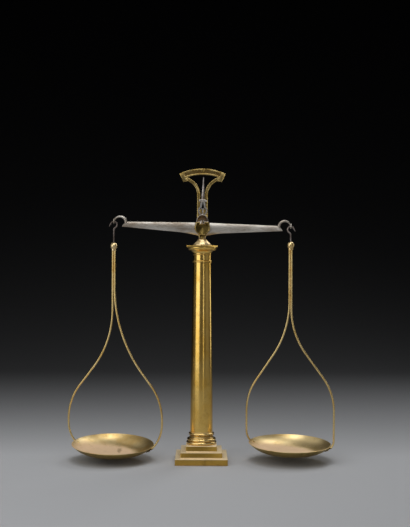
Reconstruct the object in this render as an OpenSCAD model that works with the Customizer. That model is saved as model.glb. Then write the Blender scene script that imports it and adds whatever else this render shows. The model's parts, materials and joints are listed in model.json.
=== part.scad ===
// Beam scale on a turned column: stepped plinth, tapered shaft with moulded base and
// capital, iron beam with swan-neck ends on a steel knife, pierced pointer in front of an
// index frame, and two spun pans hung in pear-shaped bows from wire hooks.
// Origin at the middle of the plinth's underside, +Z up, +X towards the right pan and
// -Y towards the reader of the index. Millimetres and degrees.

/* [Plinth] */
// Width of the lowest step
plinth_w = 103; // [96:0.5:120]
// Width of each tread
plinth_tread = 10.5; // [8:0.5:11.5]
// Height of the lowest step
plinth_foot_h = 12.5; // [11:0.5:18]
// Height of each upper step
plinth_step_h = 11; // [9:0.5:15]
// Bevel on the nosing of each step
plinth_bevel = 1; // [0.5:0.1:2]

/* [Column] */
// Height of the moulded base ring
base_h = 25; // [24.5:0.5:30]
// Radius of the lower torus of the base
base_torus_r = 30; // [29.3:0.1:30.4]
// Thickness of the lower torus
base_torus_t = 6.5; // [5:0.1:7]
// Thickness of the second torus
base_upper_torus_t = 5; // [4:0.1:5.5]
// Thickness of the ring under the shaft
base_ring_t = 4.2; // [3:0.1:4.8]
// How far each moulding steps in from the one below
base_step_in = 1.2; // [0.8:0.1:1.6]
// Radius of the shaft at its foot
shaft_foot_r = 22.4; // [21:0.1:23.4]
// Radius of the shaft at its top
shaft_top_r = 18.3; // [17:0.1:19]
// Swelling of the shaft at half height
shaft_entasis = 0.5; // [0:0.1:1]
// Height of the shaft
shaft_h = 336; // [300:1:380]
// Wall of the shaft tube
shaft_wall = 2; // [1.5:0.1:3]
// Depth of the spigots that enter the shaft tube
spigot_h = 9; // [5:0.5:15]

/* [Capital] */
// Height of the neck between astragal and echinus
neck_h = 11; // [8:0.5:15]
// How far the astragal stands out from the neck
astragal_out = 1.8; // [1:0.1:2.5]
// Thickness of the astragal
astragal_t = 3; // [2:0.1:4]
// Height of the flared echinus
echinus_h = 15; // [12:0.1:17]
// Width of the square abacus
abacus_w = 61.4; // [60:0.2:66]
// Thickness of the abacus
abacus_t = 3.4; // [2.5:0.1:5]
// Radius of the domed cap at its foot
cap_foot_r = 18.3; // [15:0.1:21]
// Radius of the domed cap at its top
cap_top_r = 9.2; // [9.1:0.1:11]
// Height of the domed cap
cap_h = 12.5; // [10:0.5:16]

/* [Cheeks] */
// Height of the knife's edge, which the beam turns on, over the domed cap
pivot_rise = 37.1; // [36.5:0.1:40]
// Radius of the wide lower part of the cheeks
cheek_r = 15.5; // [14:0.1:17]
// Depth of that part's middle below the knife's edge
cheek_drop = 13; // [11:0.1:15]
// Radius of the cheeks' rounded top
cheek_top_r = 11; // [9.5:0.1:11.5]
// Height of that top over the knife's edge
cheek_top = 12.4; // [12:0.1:14]
// Half-width of the cheeks' narrow foot
cheek_foot_half = 6.9; // [6.8:0.1:8]
// Thickness of the cheeks
cheek_t = 3.2; // [2.4:0.1:4]
// Height of the raised panel on the front cheek
cheek_panel_t = 0.8; // [0.4:0.1:1.2]
// Space between the cheeks
cheek_gap = 8; // [7.6:0.1:9]
// Height of the block between the cheeks' feet
block_h = 4.7; // [4:0.1:5.2]
// Depth of the steel bearing heads below the knife's edge
head_drop = 2.5; // [2:0.1:3.5]
// Bore radius of the bearing heads
bore_r = 3.5; // [3.4:0.1:4]
// Shank radius of the cheek screws
screw_r = 1.2; // [1:0.1:1.3]
// Distance of each cheek screw from the middle
screw_x = 4.8; // [4.5:0.1:4.9]

/* [Tie rod] */
// Radius of the iron rod inside the column
rod_r = 3; // [2.5:0.1:3.2]
// Depth to which the rod is screwed into the plinth
rod_grip = 20; // [12:0.5:24]

/* [Index frame] */
// Outer radius of the arch, measured from the knife's edge
arch_r = 105.5; // [100:0.5:110]
// Height of the arch's band
arch_band = 12; // [10:0.5:14]
// Angle between the arch's middle and each end
arch_half_angle = 26; // [24:0.5:30]
// Depth of the groove in the arch's face
arch_groove = 1; // [0.5:0.1:1.5]
// Angle covered by each end block
end_block_angle = 4.5; // [3:0.5:6]
// How far the end blocks reach below the arch
end_block_drop = 6; // [3:0.5:7]
// Width of the fork's arms
arm_w = 6; // [4.5:0.1:6.5]
// Distance between the straight arms
arm_gap = 9.2; // [8:0.1:11]
// Height over the knife's edge at which the arms start to bend outwards
arm_bend_z = 52; // [48:0.5:56]
// Bending radius of the arms
arm_bend_r = 34.5; // [32:0.5:37]
// Angle through which the arms bend
arm_bend_angle = 65; // [60:1:68]
// Thickness of the frame's flat foot behind the cheek
frame_foot_t = 3.2; // [2:0.1:4]
// Thickness of the arms and arch
frame_t = 5.9; // [5:0.1:6.4]
// Width across the top of the index mark
mark_w = 8; // [5:0.5:10]

/* [Beam] */
// Distance from the knife's edge to each end bearing
eye_x = 176.9; // [170:0.1:190]
// Depth of the end bearings below the knife's edge
eye_drop = 7.5; // [6.5:0.1:9]
// How far the beam dips to the right at rest
rest_tilt = 1.35; // [-2:0.05:2]
// Thickness of the beam at its middle
beam_mid_t = 7; // [6:0.1:7.2]
// Thickness of the beam at its ends
beam_end_t = 5; // [4:0.1:6]
// Depth of the beam's top edge below the knife's edge, at the middle
beam_top_mid = 3.4; // [2:0.1:5]
// Depth of the beam's top edge at the ends
beam_top_end = 5.5; // [4:0.1:6.5]
// Depth of the beam's underside at the ends
beam_under_end = 15.4; // [13:0.1:17]
// Depth that the straight underside would have at the middle
beam_under_mid = 26.2; // [22:0.1:26.6]
// Extra depth of the rounded belly
belly_depth = 4.7; // [3:0.1:5.2]
// Half-length of the belly
belly_reach = 44; // [30:1:60]
// Radius of the boss that holds the knife
boss_r = 9; // [8:0.1:9.6]
// Outer radius of the swan necks
neck_r = 14; // [12:0.1:16]
// Thickness of the swan neck at its top
neck_t = 4; // [3:0.1:4.5]
// Extra thickness of the swan neck at its root
neck_root_extra = 1; // [0.5:0.1:1.4]
// Reach of the beam's lip under the swan neck
lip_out = 10.3; // [8:0.1:11.5]
// Thickness of the flattened, pierced end
eye_t = 2.6; // [2:0.1:3]
// Radius of the eye at its sharp middle
eye_r = 2.4; // [2.2:0.1:2.8]
// Radius of the flattened end round the eye
eye_outer_r = 5.2; // [4.9:0.1:6]
// Slope of the eye's countersink, radius gained for each mm of depth
eye_flare = 0.8; // [0.6:0.05:1]
// Height of the triangular knife
knife_h = 4.5; // [3.5:0.1:4.7]
// Width of the knife's back
knife_w = 5.2; // [4:0.1:5.4]

/* [Pointer] */
// Height of the pointer's tip over the knife's edge
pointer_tip = 88; // [80:0.5:90]
// Thickness of the pointer
pointer_t = 2.4; // [1.8:0.1:3]
// Width of the blade at its foot
blade_w = 7; // [5:0.1:8]
// Height of the cross-bar's middle over the knife's edge
bar_z = 40.6; // [39:0.1:44]
// Length of the cross-bar
bar_w = 16; // [12:0.5:18]
// Thickness of the cross-bar
bar_h = 4.4; // [3:0.1:5]
// Outer radius of the pierced ring
ring_r = 9.4; // [8:0.1:9.6]
// Width of the ring's rim
ring_rim = 2.8; // [2:0.1:3.4]
// Height of the ring's middle over the knife's edge
ring_z = 20.8; // [20.2:0.1:22]
// Radius of the pointer's tang in the boss
tang_r = 1.6; // [1:0.1:2]

/* [Hooks and swivels] */
// Drop from the left end bearing to the middle of its ball
left_hook_len = 47.5; // [44:0.1:52]
// Drop from the right end bearing to the middle of its ball
right_hook_len = 36.2; // [34:0.1:42]
// Radius of the hook wire
wire_r = 1.5; // [1.2:0.1:1.6]
// Radius of the hook's loop
loop_r = 6.3; // [5.9:0.1:7]
// Angle below the horizontal at which the loop leaves towards the shank
loop_foot_angle = 50; // [45:1:60]
// Bending radius between loop and shank
crook_r = 5; // [4:0.1:6]
// Length of the flared tip
tip_len = 7.5; // [5:0.1:9]
// Radius of the brass ball
ball_r = 7.25; // [7:0.05:8]
// Radius of the ball's collar
collar_r = 4.8; // [4.7:0.1:5.5]
// Distance from the ball's middle to the collar's end
collar_drop = 9.6; // [9.3:0.1:12]
// Radius of the rivet head on the shank, inside the ball
shank_head_r = 2.6; // [2.2:0.1:2.8]
// Thickness of that head
shank_head_t = 1.8; // [1.2:0.1:2.2]

/* [Bows] */
// Drop from the middle of the ball to the plane of the pan's rim
bow_drop = 395.2; // [380:0.1:400]
// Radius of the rods
bow_rod_r = 1.9; // [1.6:0.05:2]
// Gap between the two rods where they run together
rod_gap = 0.4; // [0.3:0.1:0.8]
// Radius of the bend back to vertical, on all four rods
shoulder_r = 108; // [100:1:116]
// Angle at which the left outer rod turns outwards
left_outer_flare = 38.8; // [36:0.1:41]
// Radius of the left outer rod's outward bend
left_outer_flare_r = 187; // [170:1:200]
// Radius of the left outer rod's bend in towards the rim
left_outer_tuck_r = 58.5; // [50:0.5:66]
// Straight length of the left outer rod between its last two bends
left_outer_side = 7; // [5:0.5:12]
// Angle at which the left inner rod turns outwards
left_inner_flare = 38.6; // [36:0.1:39.5]
// Radius of the left inner rod's outward bend
left_inner_flare_r = 276; // [250:1:285]
// Radius of the left inner rod's bend in towards the rim
left_inner_tuck_r = 70; // [64:0.5:76]
// Straight length of the left inner rod between its last two bends
left_inner_side = 7; // [5:0.5:12]
// Angle at which the right inner rod turns outwards
right_inner_flare = 34.8; // [33:0.1:38]
// Radius of the right inner rod's outward bend
right_inner_flare_r = 190; // [170:1:210]
// Radius of the right inner rod's bend in towards the rim
right_inner_tuck_r = 31; // [26:0.5:40]
// Straight length of the right inner rod between its last two bends
right_inner_side = 40; // [30:0.5:50]
// Angle at which the right outer rod turns outwards
right_outer_flare = 37.5; // [35:0.1:40]
// Radius of the right outer rod's outward bend
right_outer_flare_r = 148; // [130:1:165]
// Radius of the right outer rod's bend in towards the rim
right_outer_tuck_r = 21; // [18:0.5:30]
// Straight length of the right outer rod between its last two bends
right_outer_side = 57; // [45:0.5:66]
// Turn of the left bow about the vertical
left_bow_turn = 17; // [0:1:30]
// Turn of the right bow about the vertical
right_bow_turn = 21; // [0:1:30]
// Length of the flattened foot on each rod
foot_len = 14; // [12:0.5:18]
// Width of the flattened foot
foot_w = 6; // [5:0.1:8]
// Thickness of the flattened foot
foot_t = 2.2; // [1.5:0.1:3]

/* [Pans] */
// Radius of a pan at its rim
pan_r = 82; // [78:0.5:84]
// Depth of a pan
pan_depth = 18.5; // [17:0.1:22]
// Radius of a pan's flat bottom
pan_flat_r = 40; // [34:0.5:46]
// Wall of a pan
pan_wall = 1.2; // [0.8:0.05:1.6]
// Lean of the left pan towards the reader
left_pan_lean = 3.9; // [-5:0.1:5]
// Dip of the left pan to the right
left_pan_dip = 2.5; // [-4:0.1:4]
// Lean of the right pan towards the reader
right_pan_lean = 2.2; // [-5:0.1:5]
// Dip of the right pan to the right
right_pan_dip = 1.6; // [-4:0.1:4]
// Radius of the pan rivets
rivet_r = 1.3; // [1:0.1:1.6]
// Distance of the rivets from the rim, along the wall
rivet_in = 8; // [6:0.1:9]

/* [Fits] */
// Clearance under the knife's edge and the hooks, and round the shanks
running_fit = 0.05; // [0.02:0.01:0.1]
// Gap between a soldered or riveted foot and the pan's wall
seat_gap = 0.05; // [0.02:0.01:0.2]
// Clearance round the tie rod where it isn't threaded
rod_clearance = 0.2; // [0.1:0.05:0.5]

/* [Hidden] */

$fn = 96;
BRASS = "goldenrod";
DARK_BRASS = "saddlebrown";
IRON = "silver";
STEEL = "slategray";
LEFT = -1;
RIGHT = 1;
// Small overshoot of cutting shapes
over = 1;
// Half-length of the welds in bent bars, their overlap and the gap that they close
weld_half = 0.3;
weld_over = 0.03;
weld_gap = 0.01;
curve_steps = 24;

plinth_steps = 3;
plinth_h = plinth_foot_h + (plinth_steps - 1) * plinth_step_h;
base_z = plinth_h;
shaft_z = base_z + base_h;
capital_z = shaft_z + shaft_h;
astragal_fillet_t = astragal_t / 2;
echinus_z = astragal_t + astragal_fillet_t + neck_h;
capital_h = echinus_z + echinus_h;
abacus_z = capital_z + capital_h;
cap_z = abacus_z + abacus_t;
cap_rim_t = 2;
post_z = cap_z + cap_h;
pivot_z = post_z + pivot_rise;
rod_hole_r = rod_r + rod_clearance;

cheek_face_y = cheek_gap / 2;
cheek_back_y = cheek_face_y + cheek_t;
bore_z = pivot_z + bore_r - running_fit;
cheek_top_z = cheek_top - cheek_top_r;
block_spigot_r = cheek_face_y - 0.1;
block_spigot_h = 6;
rod_end_gap = 1;
screw_z = block_h / 2;
screw_head_r = 1.9;
screw_head_t = 0.8;

frame_back_y = cheek_back_y + frame_foot_t;
frame_front_y = frame_back_y - frame_t;
frame_mid_y = frame_back_y - frame_t / 2;
arm_inset = 0.15;
// Depth to which the arms' tips run into the arch
arm_bite = 2.7;
arm_t = frame_t - 2 * arm_inset;
arm_x = (arm_gap + arm_w) / 2;
frame_foot_half = arm_x + arm_w / 2 + arm_inset;
frame_foot_z = -5;
frame_fork_z = 24;
frame_rivet_x = 5.5;
frame_rivet_z = -9;
frame_rivet_r = 1.2;
frame_rivet_head_r = 2.1;
frame_rivet_head_t = 0.8;

wall_r = (pow(pan_r - pan_flat_r, 2) + pow(pan_depth, 2)) / (2 * pan_depth);
wall_angle = asin((pan_r - pan_flat_r) / wall_r);
rod_x = bow_rod_r + rod_gap / 2;
rod_socket_h = 2.8;
rivet_head_r = rivet_r + 1;
rivet_head_t = 0.8;
rod_tail = 3;
rod_seat = seat_gap + 0.1;
// How each set hangs: side, drop of its hook, turn of its bow, lean and dip of its pan
left_hang = [LEFT, left_hook_len, left_bow_turn, left_pan_lean, left_pan_dip];
right_hang = [RIGHT, right_hook_len, right_bow_turn, right_pan_lean, right_pan_dip];
// How each rod is bent: angle and radius outwards, radius inwards, straight length between
left_outer_bends = [left_outer_flare, left_outer_flare_r, left_outer_tuck_r, left_outer_side];
left_inner_bends = [left_inner_flare, left_inner_flare_r, left_inner_tuck_r, left_inner_side];
right_inner_bends = [right_inner_flare, right_inner_flare_r, right_inner_tuck_r, right_inner_side];
right_outer_bends = [right_outer_flare, right_outer_flare_r, right_outer_tuck_r, right_outer_side];
chamber_z = -1.5;

function plinth_half(i) = plinth_w / 2 - i * plinth_tread;
function plinth_level(i) = i == 0 ? 0 : plinth_foot_h + (i - 1) * plinth_step_h;

// Radius of the shaft at a share of its height
function shaft_r(u) = shaft_foot_r + (shaft_top_r - shaft_foot_r) * u
    + shaft_entasis * 4 * u * (1 - u);
// Radius of the shaft's bore at a height over its foot
function shaft_bore_r(z) = shaft_r(z / shaft_h) - shaft_wall;

neck_x = eye_x - neck_r + eye_t / 2;
root_out_x = neck_x - neck_r;
root_in_x = root_out_x + neck_t + neck_root_extra;
lip_x = root_out_x + lip_out;
boss_z = 1;

// Height of the beam's underside under the knife's edge, at a distance along the beam
function beam_under(x) = -(beam_under_end
    + (beam_under_mid - beam_under_end) * (1 - abs(x) / lip_x)
    + belly_depth * pow(max(0, 1 - abs(x) / belly_reach), 1.6));

// Place of an end bearing's edge in the standing frame
function bearing_point(side) = [
    side * eye_x * cos(rest_tilt) - eye_drop * sin(rest_tilt),
    0,
    pivot_z - side * eye_x * sin(rest_tilt) - eye_drop * cos(rest_tilt)];

// Angle from the vertical at which a rod comes in under the rim
function tuck_angle(dip) = 90 - wall_angle + dip;
// Place of a rod's end beside the rim, from the middle of the ball
function rod_end(dip) = [
    pan_r * cos(dip) + (rod_seat + bow_rod_r) * sin(wall_angle - dip),
    -bow_drop - pan_r * sin(dip) - (rod_seat + bow_rod_r) * cos(wall_angle - dip)];
// Length of the straight, slanting part of a rod
function slant_len(dip, flare, flare_r, tuck_r) = (rod_end(dip).x - rod_x
    - (flare_r + shoulder_r) * (1 - cos(flare))
    + tuck_r * (1 - cos(tuck_angle(dip)))) / sin(flare);

// Part of a round bar bent in the XZ plane, between two angles from +X towards +Z
module bend(bend_r, bar_r, from, to) {
    rotate([90, 0, 0]) rotate([0, 0, from])
        rotate_extrude(angle = to - from) translate([bend_r, 0]) circle(bar_r, $fn = 48);
}

// Straight round bar from a point, along an angle in the XZ plane from +X towards +Z
module bar(from, angle, len, bar_r) {
    translate(from) rotate([0, 90 - angle, 0]) translate([0, 0, weld_gap])
        cylinder(h = len - 2 * weld_gap, r = bar_r, $fn = 48);
}

// Weld that joins the ends of a bend and a straight bar
module weld(at, angle, bar_r) {
    translate(at) rotate([0, 90 - angle, 0]) translate([0, 0, -weld_half])
        cylinder(h = 2 * weld_half, r = bar_r + weld_over, $fn = 48);
}

// Flat shape in the XZ plane, made solid between two places along Y
module plate(y0, y1) {
    translate([0, y1, 0]) rotate([90, 0, 0]) linear_extrude(y1 - y0) children();
}

// Round pin or hole along Y
module cross_pin(x, z, pin_r, y0, y1) {
    translate([x, y1, z]) rotate([90, 0, 0]) cylinder(h = y1 - y0, r = pin_r);
}

// Half-round moulding with its filling disc, standing on z = 0
module bead(outer_r, thick) {
    rotate_extrude() translate([outer_r - thick / 2, thick / 2]) circle(thick / 2);
    cylinder(h = thick, r = outer_r - thick / 2);
}

module plinth_slab() {
    right = [for (i = [0 : plinth_steps - 1]) each [
        [plinth_half(i), plinth_level(i)],
        [plinth_half(i), plinth_level(i + 1) - plinth_bevel],
        [plinth_half(i) - plinth_bevel, plinth_level(i + 1)]]];
    left = [for (i = [len(right) - 1 : -1 : 0]) [-right[i].x, right[i].y]];
    plate(-plinth_w, plinth_w) polygon(concat(right, left));
}

module plinth() {
    color(BRASS) difference() {
        intersection() {
            plinth_slab();
            rotate([0, 0, 90]) plinth_slab();
        }
        translate([0, 0, plinth_h - rod_grip]) cylinder(h = rod_grip + over, r = rod_r);
    }
}

module column_base() {
    groove_t = 0.5;
    fillet_t = 1;
    shaft_fillet_t = 2.2;
    upper_torus_z = base_torus_t + groove_t;
    scotia_z = upper_torus_z + base_upper_torus_t + fillet_t;
    ring_z = base_h - base_ring_t - shaft_fillet_t;
    scotia_r = (ring_z - scotia_z) / 2;
    waist_r = base_torus_r - 4 * base_step_in;
    color(BRASS) translate([0, 0, base_z]) difference() {
        union() {
            bead(base_torus_r, base_torus_t);
            translate([0, 0, upper_torus_z]) bead(base_torus_r - base_step_in, base_upper_torus_t);
            cylinder(h = ring_z, r = waist_r);
            translate([0, 0, ring_z]) bead(waist_r + base_step_in / 4, base_ring_t);
            cylinder(h = base_h, r = shaft_foot_r + fillet_t / 2);
            translate([0, 0, base_h - over])
                cylinder(h = spigot_h + over, r = shaft_bore_r(spigot_h) - seat_gap);
        }
        translate([0, 0, scotia_z + scotia_r]) rotate_extrude()
            translate([waist_r + scotia_r / 4, 0]) circle(scotia_r);
        translate([0, 0, -over]) cylinder(h = base_h + spigot_h + 2 * over, r = rod_hole_r);
    }
}

// Outline of the shaft at some distance inside its surface
function shaft_side(inset) = [for (i = [0 : curve_steps])
    [shaft_r(i / curve_steps) - inset, shaft_h * i / curve_steps]];

module column_shaft() {
    inner = shaft_side(shaft_wall);
    bore = [for (i = [curve_steps : -1 : 0]) inner[i]];
    color(BRASS) translate([0, 0, shaft_z])
        rotate_extrude() polygon(concat(shaft_side(0), bore));
}

module capital() {
    neck_r0 = shaft_top_r + 0.1;
    lip_r = abacus_w / 2 - 0.9;
    mid_r = neck_r0 + (lip_r - neck_r0) * 0.64;
    ring_t = 2;
    cove_h = (echinus_h - ring_t) * 0.55;
    cove = [for (i = [0 : 12]) [
        neck_r0 + 0.6 + (mid_r - neck_r0 - 0.6) * (1 - cos(90 * i / 12)),
        ring_t + cove_h * sin(90 * i / 12)]];
    ovolo_z = ring_t + cove_h + 1;
    ovolo = [for (i = [0 : 12]) [
        mid_r + 0.8 + (lip_r - mid_r - 0.8) * sin(90 * i / 12),
        ovolo_z + (echinus_h - ovolo_z) * (1 - cos(90 * i / 12))]];
    color(BRASS) translate([0, 0, capital_z]) difference() {
        union() {
            cylinder(h = astragal_fillet_t, r = neck_r0 + astragal_out / 2);
            translate([0, 0, astragal_fillet_t]) bead(neck_r0 + astragal_out, astragal_t);
            cylinder(h = echinus_z, r = neck_r0);
            translate([0, 0, echinus_z]) {
                bead(neck_r0 + 1, ring_t);
                rotate_extrude() polygon(concat([[0, ring_t / 2]], [[neck_r0, ring_t / 2]],
                    cove, [[mid_r + 0.8, ring_t + cove_h]], ovolo, [[0, echinus_h]]));
            }
            translate([-abacus_w / 2, -abacus_w / 2, capital_h])
                cube([abacus_w, abacus_w, abacus_t]);
            translate([0, 0, -spigot_h])
                cylinder(h = spigot_h + over, r = shaft_bore_r(shaft_h) - seat_gap);
        }
        translate([0, 0, -spigot_h - over])
            cylinder(h = capital_h + abacus_t + spigot_h + 2 * over, r = rod_hole_r);
    }
}

module dome_cap() {
    shoulder_r0 = cap_foot_r - 0.7;
    ogee = [for (i = [0 : curve_steps]) [
        cap_top_r + (shoulder_r0 - cap_top_r) * (1 + cos(180 * i / curve_steps)) / 2,
        cap_rim_t + (cap_h - cap_rim_t) * i / curve_steps]];
    color(BRASS) translate([0, 0, cap_z]) difference() {
        rotate_extrude() polygon(concat([[0, 0]], [[cap_foot_r, 0]],
            [[cap_foot_r, cap_rim_t]], ogee, [[0, cap_h]]));
        translate([0, 0, -over]) cylinder(h = cap_h + 2 * over, r = rod_hole_r);
        translate([0, 0, cap_h - block_spigot_h])
            cylinder(h = block_spigot_h + over, r = block_spigot_r + seat_gap);
    }
}

module tie_rod() {
    bottom = plinth_h - rod_grip;
    color(STEEL) translate([0, 0, bottom])
        cylinder(h = post_z + block_h - rod_end_gap - bottom, r = rod_r);
}

module post_block() {
    color(DARK_BRASS) translate([0, 0, post_z]) difference() {
        union() {
            translate([-cheek_foot_half, -cheek_face_y, 0])
                cube([2 * cheek_foot_half, cheek_gap, block_h]);
            translate([0, 0, -block_spigot_h])
                cylinder(h = block_spigot_h + over, r = block_spigot_r);
        }
        translate([0, 0, -block_spigot_h - over])
            cylinder(h = block_spigot_h + over + block_h - rod_end_gap, r = rod_r);
        for (side = [LEFT, RIGHT])
            cross_pin(side * screw_x, screw_z, screw_r, -cheek_gap, cheek_gap);
    }
}

// Pear outline of a cheek in the XZ plane, drawn in from its edge by inset
module pear(inset) {
    lower_z = pivot_z - cheek_drop;
    upper_z = pivot_z + cheek_top_z;
    rise = upper_z - lower_z;
    slope = asin((cheek_r - cheek_top_r) / rise);
    low_r = cheek_r - inset;
    top_r = cheek_top_r - inset;
    foot_half = cheek_foot_half - inset;
    translate([0, lower_z]) circle(low_r);
    translate([0, upper_z]) circle(top_r);
    low_side = (low_r - weld_over) * [cos(slope), sin(slope)];
    top_side = (top_r - weld_over) * [cos(slope), sin(slope)];
    polygon([
        [low_side.x, lower_z + low_side.y], [top_side.x, upper_z + top_side.y],
        [-top_side.x, upper_z + top_side.y], [-low_side.x, lower_z + low_side.y]]);
    translate([-foot_half, post_z]) square([2 * foot_half, lower_z - post_z]);
}

// Outline of a bearing head: the cheek's rounded top and a dovetail under it
module bearing_outline() {
    seat_z = pivot_z - head_drop;
    tail_h = 4;
    tail_half = 4;
    side = 2 * cheek_r;
    intersection() {
        pear(0);
        polygon([[-side, seat_z], [-tail_half, seat_z], [-tail_half - over, seat_z - tail_h],
            [tail_half + over, seat_z - tail_h], [tail_half, seat_z], [side, seat_z],
            [side, seat_z + side], [-side, seat_z + side]]);
    }
}

module cheek_holes() {
    plate(-frame_back_y, frame_back_y) bearing_outline();
    for (side = [LEFT, RIGHT])
        cross_pin(side * screw_x, post_z + screw_z, screw_r, -frame_back_y, frame_back_y);
}

module front_cheek() {
    panel_inset = 1.3;
    color(DARK_BRASS) difference() {
        union() {
            plate(-cheek_back_y, -cheek_face_y) pear(0);
            difference() {
                plate(-cheek_back_y - cheek_panel_t, -cheek_back_y) pear(panel_inset);
                translate([-cheek_r, -frame_back_y, post_z - over])
                    cube([2 * cheek_r, frame_back_y, 2 * block_h + over]);
            }
        }
        cheek_holes();
    }
}

module rear_cheek() {
    color(DARK_BRASS) difference() {
        plate(cheek_face_y, cheek_back_y) pear(0);
        cheek_holes();
        for (side = [LEFT, RIGHT])
            cross_pin(side * frame_rivet_x, pivot_z + frame_rivet_z, frame_rivet_r, 0, frame_back_y);
    }
}

module cheek_screws() {
    color(STEEL) for (side = [LEFT, RIGHT]) {
        cross_pin(side * screw_x, post_z + screw_z, screw_r, -cheek_back_y, cheek_back_y);
        cross_pin(side * screw_x, post_z + screw_z, screw_head_r,
            -cheek_back_y - screw_head_t, -cheek_back_y);
    }
}

module bearing(y0, y1) {
    color(STEEL) difference() {
        plate(y0, y1) bearing_outline();
        cross_pin(0, bore_z, bore_r, y0 - over, y1 + over);
    }
}

module front_bearing() {
    bearing(-cheek_back_y - cheek_panel_t, -cheek_face_y);
}

module rear_bearing() {
    bearing(cheek_face_y, cheek_back_y);
}

// Band round the knife's edge in the XZ plane, from one angle off the vertical to
// another, with a profile given as [radius, place along Y]
module arch(from, to, profile) {
    rotate([90, 0, 0]) rotate([0, 0, 90 + from]) rotate_extrude(angle = to - from)
        polygon([for (p = profile) [p.x, -p.y]]);
}

module index_arm() {
    bend_x = arm_x + arm_bend_r;
    tip_x = bend_x - arm_bend_r * cos(arm_bend_angle);
    tip_z = arm_bend_z + arm_bend_r * sin(arm_bend_angle);
    tip_dir = [sin(arm_bend_angle), cos(arm_bend_angle)];
    along = tip_x * tip_dir.x + tip_z * tip_dir.y;
    reach = arch_r - arch_band + arm_bite;
    tip_reach = sqrt(pow(along, 2) - pow(tip_x, 2) - pow(tip_z, 2) + pow(reach, 2)) - along;
    top = cheek_top + running_fit;
    translate([arm_x - arm_w / 2, frame_front_y + arm_inset, top])
        cube([arm_w, arm_t, arm_bend_z - weld_gap - top]);
    translate([arm_x, frame_mid_y, arm_bend_z]) arm_weld();
    translate([bend_x, 0, arm_bend_z])
        rotate([90, 0, 0]) rotate([0, 0, 180 - arm_bend_angle])
            rotate_extrude(angle = arm_bend_angle)
                translate([arm_bend_r - arm_w / 2, arm_inset - frame_back_y]) square([arm_w, arm_t]);
    translate([tip_x, frame_mid_y, tip_z]) rotate([0, arm_bend_angle - 90, 0]) {
        translate([weld_gap, -arm_t / 2, -arm_w / 2]) cube([tip_reach, arm_t, arm_w]);
        rotate([0, 90, 0]) arm_weld();
    }
}

// Weld across an arm's section
module arm_weld() {
    cube([arm_w + 2 * weld_over, arm_t + 2 * weld_over, 2 * weld_half], center = true);
}

module end_block() {
    proud = 0.3;
    inner_r = arch_r - arch_band - end_block_drop;
    scroll_r = 3.4;
    arch(-arch_half_angle, end_block_angle - arch_half_angle,
        arch_profile(inner_r, arch_r + proud, frame_front_y - proud, frame_back_y + proud));
    rotate([0, arch_half_angle - 2 * atan(scroll_r / inner_r), 0])
        cross_pin(0, inner_r + scroll_r / 2, scroll_r, frame_front_y, frame_back_y);
}

function arch_profile(r0, r1, y0, y1) = [[r0, y0], [r1, y0], [r1, y1], [r0, y1]];

// Raised triangle in the middle of the arch's groove
module index_mark(low_r, top_r, bed_y) {
    sunk = 0.2;
    plate(frame_front_y + sunk, bed_y + over) polygon([[0, low_r - sunk],
        [mark_w / 2, top_r + sunk], [-mark_w / 2, top_r + sunk]]);
}

module index_frame() {
    groove_in = 2.5;
    low_r = arch_r - arch_band;
    bed_y = frame_front_y + arch_groove;
    groove_angle = arch_half_angle - end_block_angle;
    color(BRASS) translate([0, 0, pivot_z]) difference() {
        union() {
            difference() {
                union() {
                    arch(-groove_angle - over, groove_angle + over,
                        arch_profile(low_r, arch_r, frame_front_y, frame_back_y));
                    for (side = [0, 1]) mirror([side, 0, 0]) end_block();
                }
                arch(-groove_angle, groove_angle, arch_profile(low_r + groove_in,
                    arch_r - groove_in, frame_front_y - over, bed_y));
            }
            index_mark(low_r + groove_in, arch_r - groove_in, bed_y);
            for (side = [0, 1]) mirror([side, 0, 0]) index_arm();
            plate(cheek_back_y, frame_back_y) {
                translate([-frame_foot_half, frame_foot_z])
                    square([2 * frame_foot_half, frame_fork_z - frame_foot_z]);
                translate([0, frame_foot_z]) circle(frame_foot_half);
            }
        }
        for (side = [LEFT, RIGHT])
            cross_pin(side * frame_rivet_x, frame_rivet_z, frame_rivet_r, 0, frame_back_y + over);
    }
}

module index_rivets() {
    color(STEEL) translate([0, 0, pivot_z]) for (side = [LEFT, RIGHT]) {
        cross_pin(side * frame_rivet_x, frame_rivet_z, frame_rivet_r, cheek_face_y, frame_back_y);
        cross_pin(side * frame_rivet_x, frame_rivet_z, frame_rivet_head_r,
            frame_back_y, frame_back_y + frame_rivet_head_t);
    }
}

// Puts what belongs to the beam at the knife's edge, tilted as it rests
module on_beam() {
    translate([0, 0, pivot_z]) rotate([0, rest_tilt, 0]) children();
}

module knife_prism(half_len) {
    plate(-half_len, half_len)
        polygon([[0, 0], [knife_w / 2, knife_h], [-knife_w / 2, knife_h]]);
}

module beam_bar() {
    lip_t = 1.2;
    under = [for (i = [-curve_steps : curve_steps])
        let (x = lip_x * i / curve_steps) [x, beam_under(x)]];
    right = [[lip_x, lip_t - beam_under_end], [root_in_x, -eye_drop],
        [root_out_x + neck_t / 2, -beam_top_end], [cheek_r, -beam_top_mid]];
    left = [for (i = [len(right) - 1 : -1 : 0]) [-right[i].x, right[i].y]];
    plan = [[cheek_r, beam_mid_t / 2], [lip_x, beam_end_t / 2]];
    intersection() {
        plate(-beam_mid_t, beam_mid_t) polygon(concat(under, right, left));
        translate([0, 0, -2 * beam_under_mid]) linear_extrude(4 * beam_under_mid)
            polygon([plan[0], plan[1], [plan[1].x, -plan[1].y], [plan[0].x, -plan[0].y],
                [-plan[0].x, -plan[0].y], [-plan[1].x, -plan[1].y],
                [-plan[1].x, plan[1].y], [-plan[0].x, plan[0].y]]);
    }
}

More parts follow.
